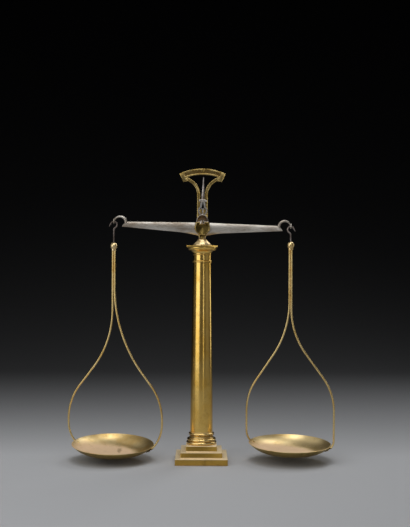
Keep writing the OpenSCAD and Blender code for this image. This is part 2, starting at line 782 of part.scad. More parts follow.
// Right-hand swan neck: a crescent over the beam's end with a flattened, pierced tip
module swan_neck() {
    inner_r = neck_r - neck_t;
    shift = (neck_r - inner_r) - eye_t;
    plate(-beam_end_t / 2, beam_end_t / 2) intersection() {
        translate([neck_x, -eye_drop]) difference() {
            circle(neck_r);
            translate([shift, 0]) circle(inner_r);
        }
        translate([neck_x - 2 * neck_r, -eye_drop - over]) square(4 * neck_r);
    }
    translate([eye_x - eye_t / 2, 0, eye_r - eye_drop]) rotate([0, 90, 0])
        cylinder(h = eye_t, r = eye_outer_r);
}

module eye_hole() {
    reach = neck_t;
    translate([eye_x, 0, eye_r - eye_drop]) rotate([0, 90, 0])
        for (side = [0, 1]) mirror([0, 0, side])
            cylinder(h = reach, r1 = eye_r, r2 = eye_r + reach * eye_flare);
}

module beam() {
    color(IRON) on_beam() difference() {
        union() {
            beam_bar();
            cross_pin(0, boss_z, boss_r, -beam_mid_t / 2, beam_mid_t / 2);
            for (side = [0, 1]) mirror([side, 0, 0]) swan_neck();
        }
        for (side = [0, 1]) mirror([side, 0, 0]) eye_hole();
        knife_prism(beam_mid_t);
        translate([0, 0, boss_z + knife_h]) cylinder(h = boss_r, r = tang_r, $fn = 32);
    }
}

module centre_knife() {
    end_gap = 0.3;
    color(STEEL) on_beam() knife_prism(cheek_back_y - end_gap);
}

module pointer() {
    ring_top = ring_z + ring_r;
    bar_low = bar_z - bar_h / 2;
    inner_r = ring_r - ring_rim;
    stem_half = 2.6;
    web_low = 6.2;
    web_top = 4.2;
    drop_r = 1.9;
    drop_z = ring_top - drop_r - 0.8;
    divider_r = 3;
    tip_half = 0.4;
    half_t = pointer_t / 2;
    bar_end_r = bar_h / 2;
    color(STEEL) on_beam() {
        plate(-half_t, half_t) difference() {
            union() {
                translate([-stem_half, boss_z + boss_r])
                    square([2 * stem_half, ring_z - inner_r - boss_z - boss_r]);
                translate([0, ring_z]) circle(ring_r);
                polygon([[-web_low, ring_z + ring_r / 2], [web_low, ring_z + ring_r / 2],
                    [web_top, bar_low + over], [-web_top, bar_low + over]]);
            }
            difference() {
                translate([0, ring_z]) circle(inner_r);
                translate([-ring_rim / 2, ring_z - ring_r]) square([ring_rim, 2 * ring_r]);
                translate([0, ring_z + inner_r - divider_r + 0.2]) circle(divider_r);
            }
            translate([0, drop_z]) circle(drop_r);
            polygon([[-drop_r, drop_z], [drop_r, drop_z], [0, bar_low - over / 2]]);
        }
        plate(-half_t - 0.4, half_t + 0.4) {
            translate([-bar_w / 2 + bar_end_r, bar_low]) square([bar_w - bar_h, bar_h]);
            for (side = [LEFT, RIGHT])
                translate([side * (bar_w / 2 - bar_end_r), bar_z]) circle(bar_end_r);
        }
        plate(-half_t + 0.3, half_t - 0.3)
            polygon([[-blade_w / 2, bar_z], [blade_w / 2, bar_z], [tip_half, pointer_tip],
                [-tip_half, pointer_tip]]);
        translate([0, 0, boss_z + knife_h])
            cylinder(h = boss_r - knife_h + over, r = tang_r, $fn = 32);
    }
}

// Hook of the right-hand pan, with its bearing point at the origin. The loop opens
// away from the column.
module hook_shape(hook_len) {
    loop_z = running_fit + wire_r - loop_r;
    tip_angle = 30;
    foot_x = loop_r * cos(loop_foot_angle);
    foot_z = loop_r * sin(loop_foot_angle);
    slant = (foot_x - crook_r * (1 - cos(loop_foot_angle))) / sin(loop_foot_angle);
    crook_x = -crook_r;
    crook_z = loop_z - foot_z - slant * cos(loop_foot_angle) - crook_r * sin(loop_foot_angle);
    head_z = chamber_z - running_fit - hook_len - weld_half;
    translate([0, 0, loop_z]) {
        bend(loop_r, wire_r, tip_angle, 180 + loop_foot_angle);
        translate([loop_r * cos(tip_angle), 0, loop_r * sin(tip_angle)])
            rotate([0, 180 - tip_angle, 0]) translate([0, 0, weld_gap])
                cylinder(h = tip_len, r1 = wire_r, r2 = wire_r / 2, $fn = 48);
        weld([loop_r * cos(tip_angle), 0, loop_r * sin(tip_angle)], tip_angle - 90, wire_r);
    }
    bar([-foot_x, 0, loop_z - foot_z], loop_foot_angle - 90, slant, wire_r);
    weld([-foot_x, 0, loop_z - foot_z], loop_foot_angle - 90, wire_r);
    translate([crook_x, 0, crook_z]) {
        bend(crook_r, wire_r, 0, loop_foot_angle);
        weld([crook_r * cos(loop_foot_angle), 0, crook_r * sin(loop_foot_angle)],
            loop_foot_angle - 90, wire_r);
    }
    bar([0, 0, head_z], 90, crook_z - head_z, wire_r);
    weld([0, 0, crook_z], 90, wire_r);
    translate([0, 0, head_z - shank_head_t])
        cylinder(h = shank_head_t + weld_half, r = shank_head_r, $fn = 48);
}

// Puts a hook's parts under an end bearing, turned round for the left-hand side
module at_bearing(side) {
    translate(bearing_point(side)) mirror([side == LEFT ? 1 : 0, 0, 0]) children();
}

module hook(side, hook_len) {
    color(STEEL) at_bearing(side) hook_shape(hook_len);
}

// Puts a bow's parts at the middle of its ball, in the bow's own plane
module in_bow(hang) {
    translate(bearing_point(hang[0])) translate([0, 0, -hang[1]]) rotate([0, 0, -hang[2]]) children();
}

module swivel_ball(hang) {
    chamber_h = shank_head_t + 1;
    chamber_r = shank_head_r + 0.4;
    color(BRASS) in_bow(hang) difference() {
        union() {
            sphere(ball_r);
            translate([0, 0, -collar_drop]) cylinder(h = collar_drop, r = collar_r);
        }
        translate([0, 0, chamber_z - over])
            cylinder(h = ball_r + 3 * over, r = wire_r + running_fit, $fn = 48);
        translate([0, 0, chamber_z - chamber_h]) cylinder(h = chamber_h, r = chamber_r, $fn = 48);
        for (x = [-rod_x, rod_x])
            translate([x, 0, -collar_drop - over])
                cylinder(h = rod_socket_h + over, r = bow_rod_r, $fn = 48);
    }
}

// Puts a pan's parts at the middle of its rim, with its lean and dip
module in_pan(hang) {
    in_bow(hang) translate([0, 0, -bow_drop]) rotate([hang[3], hang[4], 0]) children();
}

// One rod of a bow, on the +X side, for a pan whose rim dips there by the given angle
module rod_shape(dip, flare, flare_r, tuck_r, side_len) {
    tuck = tuck_angle(dip);
    slant = slant_len(dip, flare, flare_r, tuck_r);
    tuck_z = rod_end(dip).y + tuck_r * sin(tuck);
    shoulder_z = tuck_z + side_len;
    slant_z = shoulder_z + shoulder_r * sin(flare) + slant * cos(flare);
    start_z = slant_z + flare_r * sin(flare);
    slant_x = rod_x + flare_r * (1 - cos(flare));
    shoulder_x = slant_x + slant * sin(flare) - shoulder_r * cos(flare);
    side_x = shoulder_x + shoulder_r;
    top_z = -collar_drop + rod_socket_h;
    bar([rod_x, 0, start_z], 90, top_z - start_z, bow_rod_r);
    weld([rod_x, 0, start_z], 90, bow_rod_r);
    translate([rod_x + flare_r, 0, start_z]) bend(flare_r, bow_rod_r, 180, 180 + flare);
    bar([slant_x, 0, slant_z], flare - 90, slant, bow_rod_r);
    weld([slant_x, 0, slant_z], flare - 90, bow_rod_r);
    weld([slant_x + slant * sin(flare), 0, slant_z - slant * cos(flare)], flare - 90, bow_rod_r);
    translate([shoulder_x, 0, shoulder_z]) bend(shoulder_r, bow_rod_r, 0, flare);
    bar([side_x, 0, tuck_z], 90, side_len, bow_rod_r);
    weld([side_x, 0, shoulder_z], 90, bow_rod_r);
    weld([side_x, 0, tuck_z], 90, bow_rod_r);
    translate([side_x - tuck_r, 0, tuck_z]) bend(tuck_r, bow_rod_r, -tuck, 0);
    bar([rod_end(dip).x, 0, rod_end(dip).y], -90 - tuck, rod_tail, bow_rod_r);
    weld([rod_end(dip).x, 0, rod_end(dip).y], -90 - tuck, bow_rod_r);
}

// Middle of the wall's arc, on the +X side of a pan's rim frame
function wall_centre() = [pan_flat_r, wall_r - pan_depth];
// Angle at the wall's centre, from straight down, of a place some way below the rim
function wall_place(below_rim) = wall_angle - below_rim / wall_r * 180 / PI;

// Flattened foot of a rod, lying against the outside of the wall on the +X side
module rod_foot() {
    near = wall_place(0);
    far = wall_place(foot_len);
    reach = 2 * wall_r;
    in_r = wall_r + seat_gap;
    plate(-foot_w / 2, foot_w / 2) translate(wall_centre()) intersection() {
        difference() {
            circle(in_r + foot_t, $fn = 360);
            circle(in_r, $fn = 360);
        }
        polygon([[0, 0], [reach * sin(far), -reach * cos(far)],
            [reach * sin(near), -reach * cos(near)]]);
    }
}

// Rivet through foot and wall on the +X side, or its hole
module wall_rivet(pin_r, from, to) {
    angle = wall_place(rivet_in);
    centre = wall_centre();
    translate([centre.x + (wall_r + from) * sin(angle), 0, centre.y - (wall_r + from) * cos(angle)])
        rotate([0, 180 - angle, 0]) cylinder(h = to - from, r = pin_r, $fn = 32);
}

module bow_rod(hang, place, bends) {
    flip = place == LEFT ? 1 : 0;
    color(BRASS) {
        in_bow(hang) mirror([flip, 0, 0])
            rod_shape(place * hang[4], bends[0], bends[1], bends[2], bends[3]);
        in_pan(hang) mirror([flip, 0, 0]) difference() {
            rod_foot();
            wall_rivet(rivet_r, -pan_wall - over, foot_t + 2 * over);
        }
    }
}

module pan(hang) {
    centre = wall_centre();
    color(BRASS) in_pan(hang) difference() {
        union() {
            rotate_extrude() intersection() {
                translate(centre) difference() {
                    circle(wall_r, $fn = 360);
                    circle(wall_r - pan_wall, $fn = 360);
                }
                translate([pan_flat_r, -pan_depth]) square([pan_r, pan_depth]);
            }
            translate([0, 0, -pan_depth]) cylinder(h = pan_wall, r = pan_flat_r);
        }
        for (flip = [0, 1]) mirror([flip, 0, 0]) wall_rivet(rivet_r, -pan_wall - over, over);
    }
}

module pan_rivets(hang) {
    inside = pan_wall + pow(rivet_head_r, 2) / (2 * (wall_r - pan_wall)) + running_fit / 2;
    foot_face = seat_gap + foot_t;
    color(BRASS) in_pan(hang) for (flip = [0, 1]) mirror([flip, 0, 0]) {
        wall_rivet(rivet_r, -inside - rivet_head_t / 2, foot_face + rivet_head_t / 2);
        wall_rivet(rivet_head_r, -inside - rivet_head_t, -inside);
        wall_rivet(rivet_head_r, foot_face, foot_face + rivet_head_t);
    }
}

module left_hook() { hook(LEFT, left_hook_len); }
module left_swivel_ball() { swivel_ball(left_hang); }
module left_outer_rod() { bow_rod(left_hang, LEFT, left_outer_bends); }
module left_inner_rod() { bow_rod(left_hang, RIGHT, left_inner_bends); }
module left_pan() { pan(left_hang); }
module left_pan_rivets() { pan_rivets(left_hang); }
module right_hook() { hook(RIGHT, right_hook_len); }
module right_swivel_ball() { swivel_ball(right_hang); }
module right_outer_rod() { bow_rod(right_hang, RIGHT, right_outer_bends); }
module right_inner_rod() { bow_rod(right_hang, LEFT, right_inner_bends); }
module right_pan() { pan(right_hang); }
module right_pan_rivets() { pan_rivets(right_hang); }

plinth();
column_base();
column_shaft();
capital();
dome_cap();
tie_rod();
post_block();
front_cheek();
rear_cheek();
cheek_screws();
front_bearing();
rear_bearing();
index_frame();
index_rivets();
beam();
centre_knife();
pointer();
left_hook();
left_swivel_ball();
left_outer_rod();
left_inner_rod();
left_pan();
left_pan_rivets();
right_hook();
right_swivel_ball();
right_outer_rod();
right_inner_rod();
right_pan();
right_pan_rivets();
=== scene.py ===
"""Beam scale on a turned column: its looks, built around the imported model.

Sizes are in millimetres, as in the part's source, and each finished mesh is brought to
metres when it is put in its place.
"""

from __future__ import annotations

import json
import logging
from dataclasses import dataclass, replace
from enum import Enum
from math import acos, asin, atan, copysign, cos, degrees, pi, radians, sin, sqrt
from typing import Any, Callable, Sequence

import bpy
from mathutils import Matrix, Vector

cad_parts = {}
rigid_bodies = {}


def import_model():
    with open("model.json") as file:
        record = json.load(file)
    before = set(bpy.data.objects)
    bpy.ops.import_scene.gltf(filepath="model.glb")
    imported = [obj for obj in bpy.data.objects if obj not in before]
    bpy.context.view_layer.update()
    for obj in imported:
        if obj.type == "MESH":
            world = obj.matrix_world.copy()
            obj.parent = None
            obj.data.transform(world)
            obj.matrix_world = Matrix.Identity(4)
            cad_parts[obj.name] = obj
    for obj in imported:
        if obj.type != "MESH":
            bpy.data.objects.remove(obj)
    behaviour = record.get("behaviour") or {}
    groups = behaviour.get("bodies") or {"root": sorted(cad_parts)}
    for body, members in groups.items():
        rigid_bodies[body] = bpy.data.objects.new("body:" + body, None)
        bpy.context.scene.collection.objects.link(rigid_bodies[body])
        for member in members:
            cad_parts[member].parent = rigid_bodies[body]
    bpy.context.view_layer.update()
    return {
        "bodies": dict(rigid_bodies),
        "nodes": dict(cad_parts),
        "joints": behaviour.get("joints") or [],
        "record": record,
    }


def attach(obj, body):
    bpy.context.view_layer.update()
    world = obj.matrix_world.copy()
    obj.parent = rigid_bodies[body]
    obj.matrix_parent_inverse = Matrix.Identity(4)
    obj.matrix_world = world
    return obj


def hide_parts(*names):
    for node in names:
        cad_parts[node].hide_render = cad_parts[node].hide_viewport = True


LOG = logging.getLogger("beam_scale")
Point = tuple[float, float]
Point3 = tuple[float, float, float]
Colour = tuple[float, float, float]
Thing = bpy.types.Object
Material = bpy.types.Material
Picks = Callable[[bpy.types.MeshPolygon], bool]

MM = 0.001
"""A millimetre in metres."""
DOUBLES = 0.0005
"""Corners nearer than this, in millimetres, are one."""
SHARP = 35.0
"""Edges sharper than this, in degrees, stay sharp in the shading."""
ROUND = 128
"""Faces round the column's pieces."""
FULL_FACE = 0.95
"""A face points along an axis when this share of its normal does."""
UNDERSIDE = -0.2
# A face of a pan takes the darker outside finish when this share of its normal, or less, points up:
# tarnish, with painted shade on the underside.
"""A face of a pan is outside when this share of its normal, or less, points up."""
TUBE_SIDES = 24
"""Faces round a wire or rod."""
LAMP_AIM = (0.0, 0.0, 0.28)
"""The point that the lamps face, in metres."""


class Side(Enum):
    """The side of the column that a hook, bow and pan hang on."""

    LEFT = -1
    RIGHT = 1

    @property
    def word(self) -> str:
        """The side's name, as the nodes' names begin."""
        return self.name.lower()


class Marks(Enum):
    """How a part was made, which its fine marks follow."""

    TURNED = "turned"
    DRAWN = "drawn"
    SPUN = "spun"
    CAST = "cast"


def angles(start: float, end: float, steps: int) -> list[float]:
    """Even angles in radians, between two that are given in degrees."""
    return [radians(start + (end - start) * i / steps) for i in range(steps + 1)]


def arc(cx: float, cz: float, r: float, start: float, end: float, steps: int) -> list[Point]:
    """Points on an arc.

    Args:
        cx: Place of the middle across.
        cz: Height of the middle.
        r: Radius.
        start: Angle of the first point, in degrees from +X towards +Z.
        end: Angle of the last point.
        steps: Number of stretches between the points.

    Returns:
        The points, first to last.
    """
    return [(cx + r * cos(a), cz + r * sin(a)) for a in angles(start, end, steps)]


def upright(low: float, high: float, half: float, top_half: float | None = None,
            x: float = 0.0) -> list[Point]:
    """Corners of an upright bar.

    Args:
        low: Height of its foot.
        high: Height of its top.
        half: Half of its width at the foot.
        top_half: Half of its width at the top, or None where it doesn't taper.
        x: Place of its middle.

    Returns:
        The corners, from the lower left one round.
    """
    end = half if top_half is None else top_half
    return [(x - half, low), (x + half, low), (x + end, high), (x - end, high)]


class Signal:
    """A shader value that can be used in Python expressions."""

    def __init__(self, graph: Graph, socket: bpy.types.NodeSocket) -> None:
        """Keeps the graph and the output socket."""
        self.graph = graph
        self.socket = socket

    def __add__(self, other: Any) -> Signal:
        """Sum of two values."""
        return self.graph.math("ADD", self, other)

    __radd__ = __add__

    def __sub__(self, other: Any) -> Signal:
        """Difference of two values."""
        return self.graph.math("SUBTRACT", self, other)

    def __rsub__(self, other: Any) -> Signal:
        """Difference of a number and this value."""
        return self.graph.math("SUBTRACT", other, self)

    def __mul__(self, other: Any) -> Signal:
        """Product of two values."""
        return self.graph.math("MULTIPLY", self, other)

    __rmul__ = __mul__

    def __truediv__(self, other: Any) -> Signal:
        """Quotient of two values."""
        return self.graph.math("DIVIDE", self, other)

    def clip(self) -> Signal:
        """This value kept between 0 and 1."""
        return self.graph.math("ADD", self, 0.0, clamp=True)


class Graph:
    """The node tree of one material."""

    def __init__(self, name: str) -> None:
        """Makes an empty material with a Principled shader.

        Args:
            name: Name of the material.
        """
        self.material = bpy.data.materials.new(name)
        self.material.use_nodes = True
        self.tree = self.material.node_tree
        self.tree.nodes.clear()
        out = self.node("OutputMaterial")
        self.shader = self.node("BsdfPrincipled")
        self.tree.links.new(self.shader.outputs["BSDF"], out.inputs["Surface"])
        self.place = self.value("TexCoord", output="Object")

    def feed(self, node: bpy.types.Node, inputs: dict[Any, Any]) -> None:
        """Sets or links a node's sockets.

        Args:
            node: The node.
            inputs: Values or signals by socket name or number.
        """
        for key, value in inputs.items():
            if isinstance(value, Signal):
                self.tree.links.new(value.socket, node.inputs[key])
            else:
                node.inputs[key].default_value = value

    def node(self, kind: str, settings: dict[str, Any] | None = None,
             inputs: dict[Any, Any] | None = None) -> bpy.types.Node:
        """Adds a node.

        Args:
            kind: The end of Blender's type name, after ShaderNode.
            settings: Attributes, set first.
            inputs: Values or signals by socket name or number.

        Returns:
            The node.
        """
        made = self.tree.nodes.new("ShaderNode" + kind)
        for key, value in (settings or {}).items():
            setattr(made, key, value)
        self.feed(made, inputs or {})
        return made

    def value(self, kind: str, settings: dict[str, Any] | None = None,
              inputs: dict[Any, Any] | None = None, output: int | str = 0) -> Signal:
        """Adds a node and takes one of its outputs."""
        return Signal(self, self.node(kind, settings, inputs).outputs[output])

    def math(self, operation: str, a: Any, b: Any = 0.0, clamp: bool = False) -> Signal:
        """A Math node on two values."""
        return self.value("Math", {"operation": operation, "use_clamp": clamp}, {0: a, 1: b})

    def noise(self, scale: float, detail: float, rough: float, stretch: Point3 | None = None,
              at: Signal | None = None) -> Signal:
        """Noise between 0 and 1.

        Args:
            scale: Waves in a metre.
            detail: Number of finer layers.
            rough: Strength of the finer layers.
            stretch: Factors on the three coordinates, or None.
            at: Coordinates, or None for the piece's own.

        Returns:
            The noise.
        """
        place = at or self.place
        if stretch:
            place = self.value("Mapping", None, {"Vector": place, "Scale": stretch})
        inputs = {"Vector": place, "Scale": scale, "Detail": detail, "Roughness": rough}
        return self.value("TexNoise", None, inputs, "Fac")

    def step(self, value: Signal, low: float, high: float) -> Signal:
        """A soft step from 0 at low to 1 at high."""
        return self.value("MapRange", {"interpolation_type": "SMOOTHSTEP"},
                          {0: value, 1: low, 2: high, 3: 0.0, 4: 1.0})

    def band(self, value: Signal, middle: float, spread: float, full: float) -> Signal:
        """A soft band across a coordinate.

        Args:
            value: The coordinate, in metres.
            middle: Place of the band's middle, in millimetres.
            spread: Distance from there to its edge, in millimetres.
            full: Nearness to the middle, from 0 to 1, at which it is at its strongest.

        Returns:
            1 at the middle and 0 beyond the edges.
        """
        return self.step(1 - self.math("ABSOLUTE", value - middle * MM) / (spread * MM), 0.0, full)

    def away(self, x: Signal, y: Signal) -> Signal:
        """Distance from the middle of two coordinates."""
        return self.math("SQRT", x * x + y * y)

    def mix(self, share: Any, a: Any, b: Any) -> Signal:
        """A mix of two colours."""
        first, second = [v if isinstance(v, Signal) else (*v, 1.0) for v in (a, b)]
        return self.value("Mix", {"data_type": "RGBA"}, {0: share, 6: first, 7: second}, 2)

    def split(self, vector: Signal) -> tuple[Signal, Signal, Signal]:
        """The three parts of a vector."""
        made = self.node("SeparateXYZ", None, {0: vector})
        return tuple(Signal(self, made.outputs[i]) for i in range(3))

    def finish(self, colour: Signal, rough: Signal, metal: Signal | float, height: Signal | None = None,
               depth: float = 0.0, specular: float = 0.5) -> Material:
        """Feeds the shader.

        Args:
            colour: Base colour.
            rough: Roughness.
            metal: Metallic share.
            height: Relief between 0 and 1, or None.
            depth: Height of the relief in metres.
            specular: Specular level.

        Returns:
            The material.
        """
        self.feed(self.shader, {"Base Color": colour, "Roughness": rough, "Metallic": metal,
                                "Specular IOR Level": specular})
        if height:
            bump = self.value("Bump", None, {"Height": height, "Distance": depth, "Strength": 0.5})
            self.feed(self.shader, {"Normal": bump})
        return self.material


@dataclass(frozen=True)
class Brass:
    """A brass finish with tarnish, specks and the marks of its making.

    Heights and the groove give the middle and half width of a band, in millimetres. The grime and shade
    bands lay painted shade in hollows, such as the base's scotia, and dirt along joints. The worn and
    lit bands lay painted top light on the step tops, with wear on their nosings.
    """

    name: str
    bright: Colour
    amount: float
    rough: float
    marks: Marks = Marks.CAST
    warm: Colour = (0.75, 0.48, 0.13)
    tarnish: Colour = (0.24, 0.14, 0.04)
    # Cream of the step tops and nosings: painted top light, with wear.
    nosing: Colour = (1.0, 0.84, 0.56)
    used: Colour = (0.93, 0.70, 0.47)
    grime_heights: tuple[Point, ...] = ()
    worn_heights: tuple[Point, ...] = ()
    groove: Point | None = None
    wobble: float = 0.15
    patch: float = 22.0
    relief: float = 0.0006
    middle: Point3 = (0.0, 0.0, 0.0)
    stain: float = 0.0

    def make(self) -> Material:
        """Builds the material.

        Returns:
            The material.
        """
        g = Graph(self.name)
        cloud = g.noise(self.patch, 5, 0.6)
        blotch = g.noise(75, 4, 0.6)
        speck = g.step(g.noise(900, 2, 0.5), 0.66, 0.74)
        worn = g.step(blotch, 0.5, 0.74)
        colour = g.mix(g.step(cloud, 0.42, 0.68) * 0.75, self.bright, self.warm)
        dirt_and_shade = (worn * self.amount + speck * 0.45 * self.amount).clip()
        _, y, z = g.split(g.place)
        # Painted shade in hollows, such as the base's scotia, over dark dirt along joints.
        for height, spread in self.grime_heights:
            dirt_and_shade = (dirt_and_shade + g.band(z, height, spread, 1.0) * (0.25 + blotch * 0.9)).clip()
        rough = dirt_and_shade * 0.35 + cloud * 0.08 + self.rough
        if self.groove:
            dirt_and_shade = (dirt_and_shade + g.band(y, *self.groove, 0.6) * (0.5 + blotch * 0.5)).clip()
        metal = 1 - dirt_and_shade * 0.1
        # Painted top light with wear: the step tops and nosings turn cream, matt and less metallic.
        for height, spread in self.worn_heights:
            rubbed_and_lit = g.band(z, height, spread, 0.4)
            dirt_and_shade = dirt_and_shade * (1 - rubbed_and_lit * 0.8)
            rough = rough + rubbed_and_lit * 0.3
            metal = metal - rubbed_and_lit * 0.35
            colour = g.mix(rubbed_and_lit * 0.9, colour, self.nosing)
        relief = g.noise(40, 2, 0.5, (1, 1, 0.16)) * self.wobble
        if self.marks is Marks.TURNED:
            rings = g.noise(1, 2, 0.6, (6, 6, 2600))
            relief = relief + rings * 0.05
            rough = rough + rings * 0.06
        elif self.marks is Marks.DRAWN:
            rough = rough + g.noise(1, 2, 0.6, (300, 300, 20)) * 0.05
        elif self.marks is Marks.SPUN:
            colour, dirt_and_shade, rough, metal, relief = self._spun(g, colour, dirt_and_shade, rough, blotch)
        else:
            relief = relief + g.noise(700, 3, 0.6) * 0.06
        return g.finish(g.mix(dirt_and_shade, colour, self.tarnish), rough.clip(), metal, relief, self.relief)

    def _spun(self, g: Graph, colour: Signal, dirt_and_shade: Signal, rough: Signal,
              blotch: Signal) -> tuple[Signal, Signal, Signal, Signal, Signal]:
        """Rings, a matt floor worn by use and the stain of a spun pan.

        Args:
            g: The graph.
            colour: Colour of the metal.
            dirt_and_shade: Share of tarnish, with painted shade in hollows.
            rough: Roughness.
            blotch: Noise that breaks up the edges.

        Returns:
            Colour, dirt, roughness, metal share and relief.
        """
        shift = tuple(-v for v in self.middle)
        x, y, _ = g.split(g.value("Mapping", None, {"Vector": g.place, "Location": shift}))
        ragged = blotch - 0.5
        floor = 1 - g.step(g.away(x + 0.016, y + 0.011) + ragged * 0.012, 0.052, 0.074)
        off = g.away(x - 0.0115 + ragged * 0.02, (y - 0.015) * 0.24)
        stain = (1 - g.step(off, 0.0015, 0.0065)) * self.stain
        colour = g.mix(floor * 0.95, colour, self.used)
        dirt_and_shade = (dirt_and_shade * (1 - floor * 0.6) + stain * 0.55).clip()
        lines = g.noise(1, 2, 0.6, (2400, 1, 1), g.value("CombineXYZ", None, {0: g.away(x, y)}))
        rough = rough + floor * 0.33 + lines * 0.08
        return colour, dirt_and_shade, rough, 1 - floor * 0.45, lines * 0.05 + blotch * 0.03


@dataclass(frozen=True)
class Iron:
    """Scraped iron or steel with brown stains and lighter, worn places."""

    name: str
    pale: Colour
    grey: Colour
    stained: float
    rough: float
    stain: Colour = (0.24, 0.16, 0.09)
    stretch: Point3 = (0.25, 1, 1)
    relief: float = 0.0003

    def make(self) -> Material:
        """Builds the material.

        Returns:
            The material.
        """
        g = Graph(self.name)
        broad = g.noise(60, 5, 0.62, self.stretch)
        fine = g.noise(420, 4, 0.6, self.stretch)
        pits = g.step(g.noise(1500, 2, 0.5), 0.62, 0.72)
        scratch = g.noise(1, 3, 0.6, (60, 2200, 2200))
        colour = g.mix(g.step(broad, 0.35, 0.66), self.pale, self.grey)
        rust = g.step(fine * 0.6 + broad * 0.5, 0.5, 0.68) * self.stained
        rust = (rust + pits * 0.4 * self.stained).clip()
        rough = rust * 0.25 + scratch * 0.14 + self.rough
        relief = fine * 0.25 + scratch * 0.15 - pits * 0.2
        return g.finish(g.mix(rust, colour, self.stain), rough.clip(), 1.0, relief, self.relief)


@dataclass(frozen=True)
class Backdrop:
    """Plain paper of the studio, pale underfoot and darker where it rises behind; the darkening is
    painted shade, a fall-off of light towards the back.
    """

    name: str = "studio_paper"
    pale: Colour = (0.52, 0.53, 0.55)
    dark: Colour = (0.0015, 0.0015, 0.0018)
    rough: float = 0.85

    def make(self) -> Material:
        """Builds the material.

        Returns:
            The material.
        """
        g = Graph(self.name)
        _, y, z = g.split(g.place)
        # Painted shade: the sheet darkens from just behind the scale towards the back and up the rise,
        # as light falling off.
        far = (1 - g.math("EXPONENT", (y + z * 1.5 - 0.05) * -1.15)).clip()
        rough = g.noise(6, 3, 0.5) * 0.1 + self.rough
        return g.finish(g.mix(far, self.pale, self.dark), rough, 0.0, specular=0.0)


FINISHES: tuple[Brass | Iron, ...] = (
    Brass("cast_brass", (0.66, 0.41, 0.09), 0.4, 0.28, warm=(0.56, 0.33, 0.055), wobble=0.4,
          # The step tops take painted top light, with wear on their nosings.
          worn_heights=((12.5, 1.3), (23.5, 1.3), (34.5, 1.3))),
    Brass("turned_brass", (0.92, 0.61, 0.17), 0.18, 0.11, Marks.TURNED, warm=(0.8, 0.46, 0.07),
          grime_heights=((395.6, 0.6), (400.2, 0.5), (411.0, 0.5), (420.6, 0.6))),
    Brass("moulding_brass", (0.92, 0.67, 0.28), 0.12, 0.17, Marks.TURNED,
          # The wide band is painted shade in the scotia hollow; the narrow one is dirt in the joint
          # under the shaft.
          grime_heights=((50.3, 2.2), (59.6, 0.6))),
    Brass("cap_brass", (0.86, 0.68, 0.38), 0.15, 0.34, Marks.TURNED, wobble=0.1),
    Brass("frame_brass", (0.8, 0.6, 0.24), 0.6, 0.2, warm=(0.4, 0.25, 0.045), groove=(5.5, 0.55),
          wobble=0.25, patch=95.0),
    # Dark brass: patina of the cheek faces and post block; on the rods' feet under the pans' rims it is
    # patina with painted shade.
    Brass("patinated_brass", (0.2, 0.14, 0.04), 0.8, 0.42, warm=(0.13, 0.085, 0.025),
          tarnish=(0.05, 0.03, 0.015), wobble=0.1, patch=60.0),
    # Its band darkens the rods and feet towards their lower ends.
    Brass("drawn_brass", (0.88, 0.67, 0.3), 0.12, 0.18, Marks.DRAWN, grime_heights=((20.0, 15.0),),
          wobble=0.0),
    Brass("ball_brass", (0.84, 0.66, 0.36), 0.1, 0.2, Marks.DRAWN, wobble=0.0),
    # Outside of the pans: tarnish, with painted shade on the downward-facing underside.
    Brass("pan_outside", (0.55, 0.4, 0.12), 0.6, 0.3, warm=(0.42, 0.28, 0.07),
          tarnish=(0.12, 0.07, 0.02)),
    Iron("scraped_iron", (0.70, 0.66, 0.60), (0.42, 0.37, 0.31), 0.4, 0.32),
    Iron("filed_steel", (0.82, 0.79, 0.75), (0.58, 0.53, 0.48), 0.2, 0.24),
    Iron("worn_blade", (0.5, 0.46, 0.43), (0.2, 0.18, 0.17), 0.4, 0.26),
    Iron("browned_steel", (0.3, 0.23, 0.16), (0.15, 0.1, 0.06), 0.6, 0.34),
    Iron("dark_wire", (0.40, 0.34, 0.31), (0.18, 0.15, 0.14), 0.5, 0.3, stain=(0.08, 0.05, 0.03)),
)
SPUN_BRASS = Brass("spun_brass", (0.84, 0.66, 0.34), 0.3, 0.31, Marks.SPUN, warm=(0.72, 0.47, 0.15))


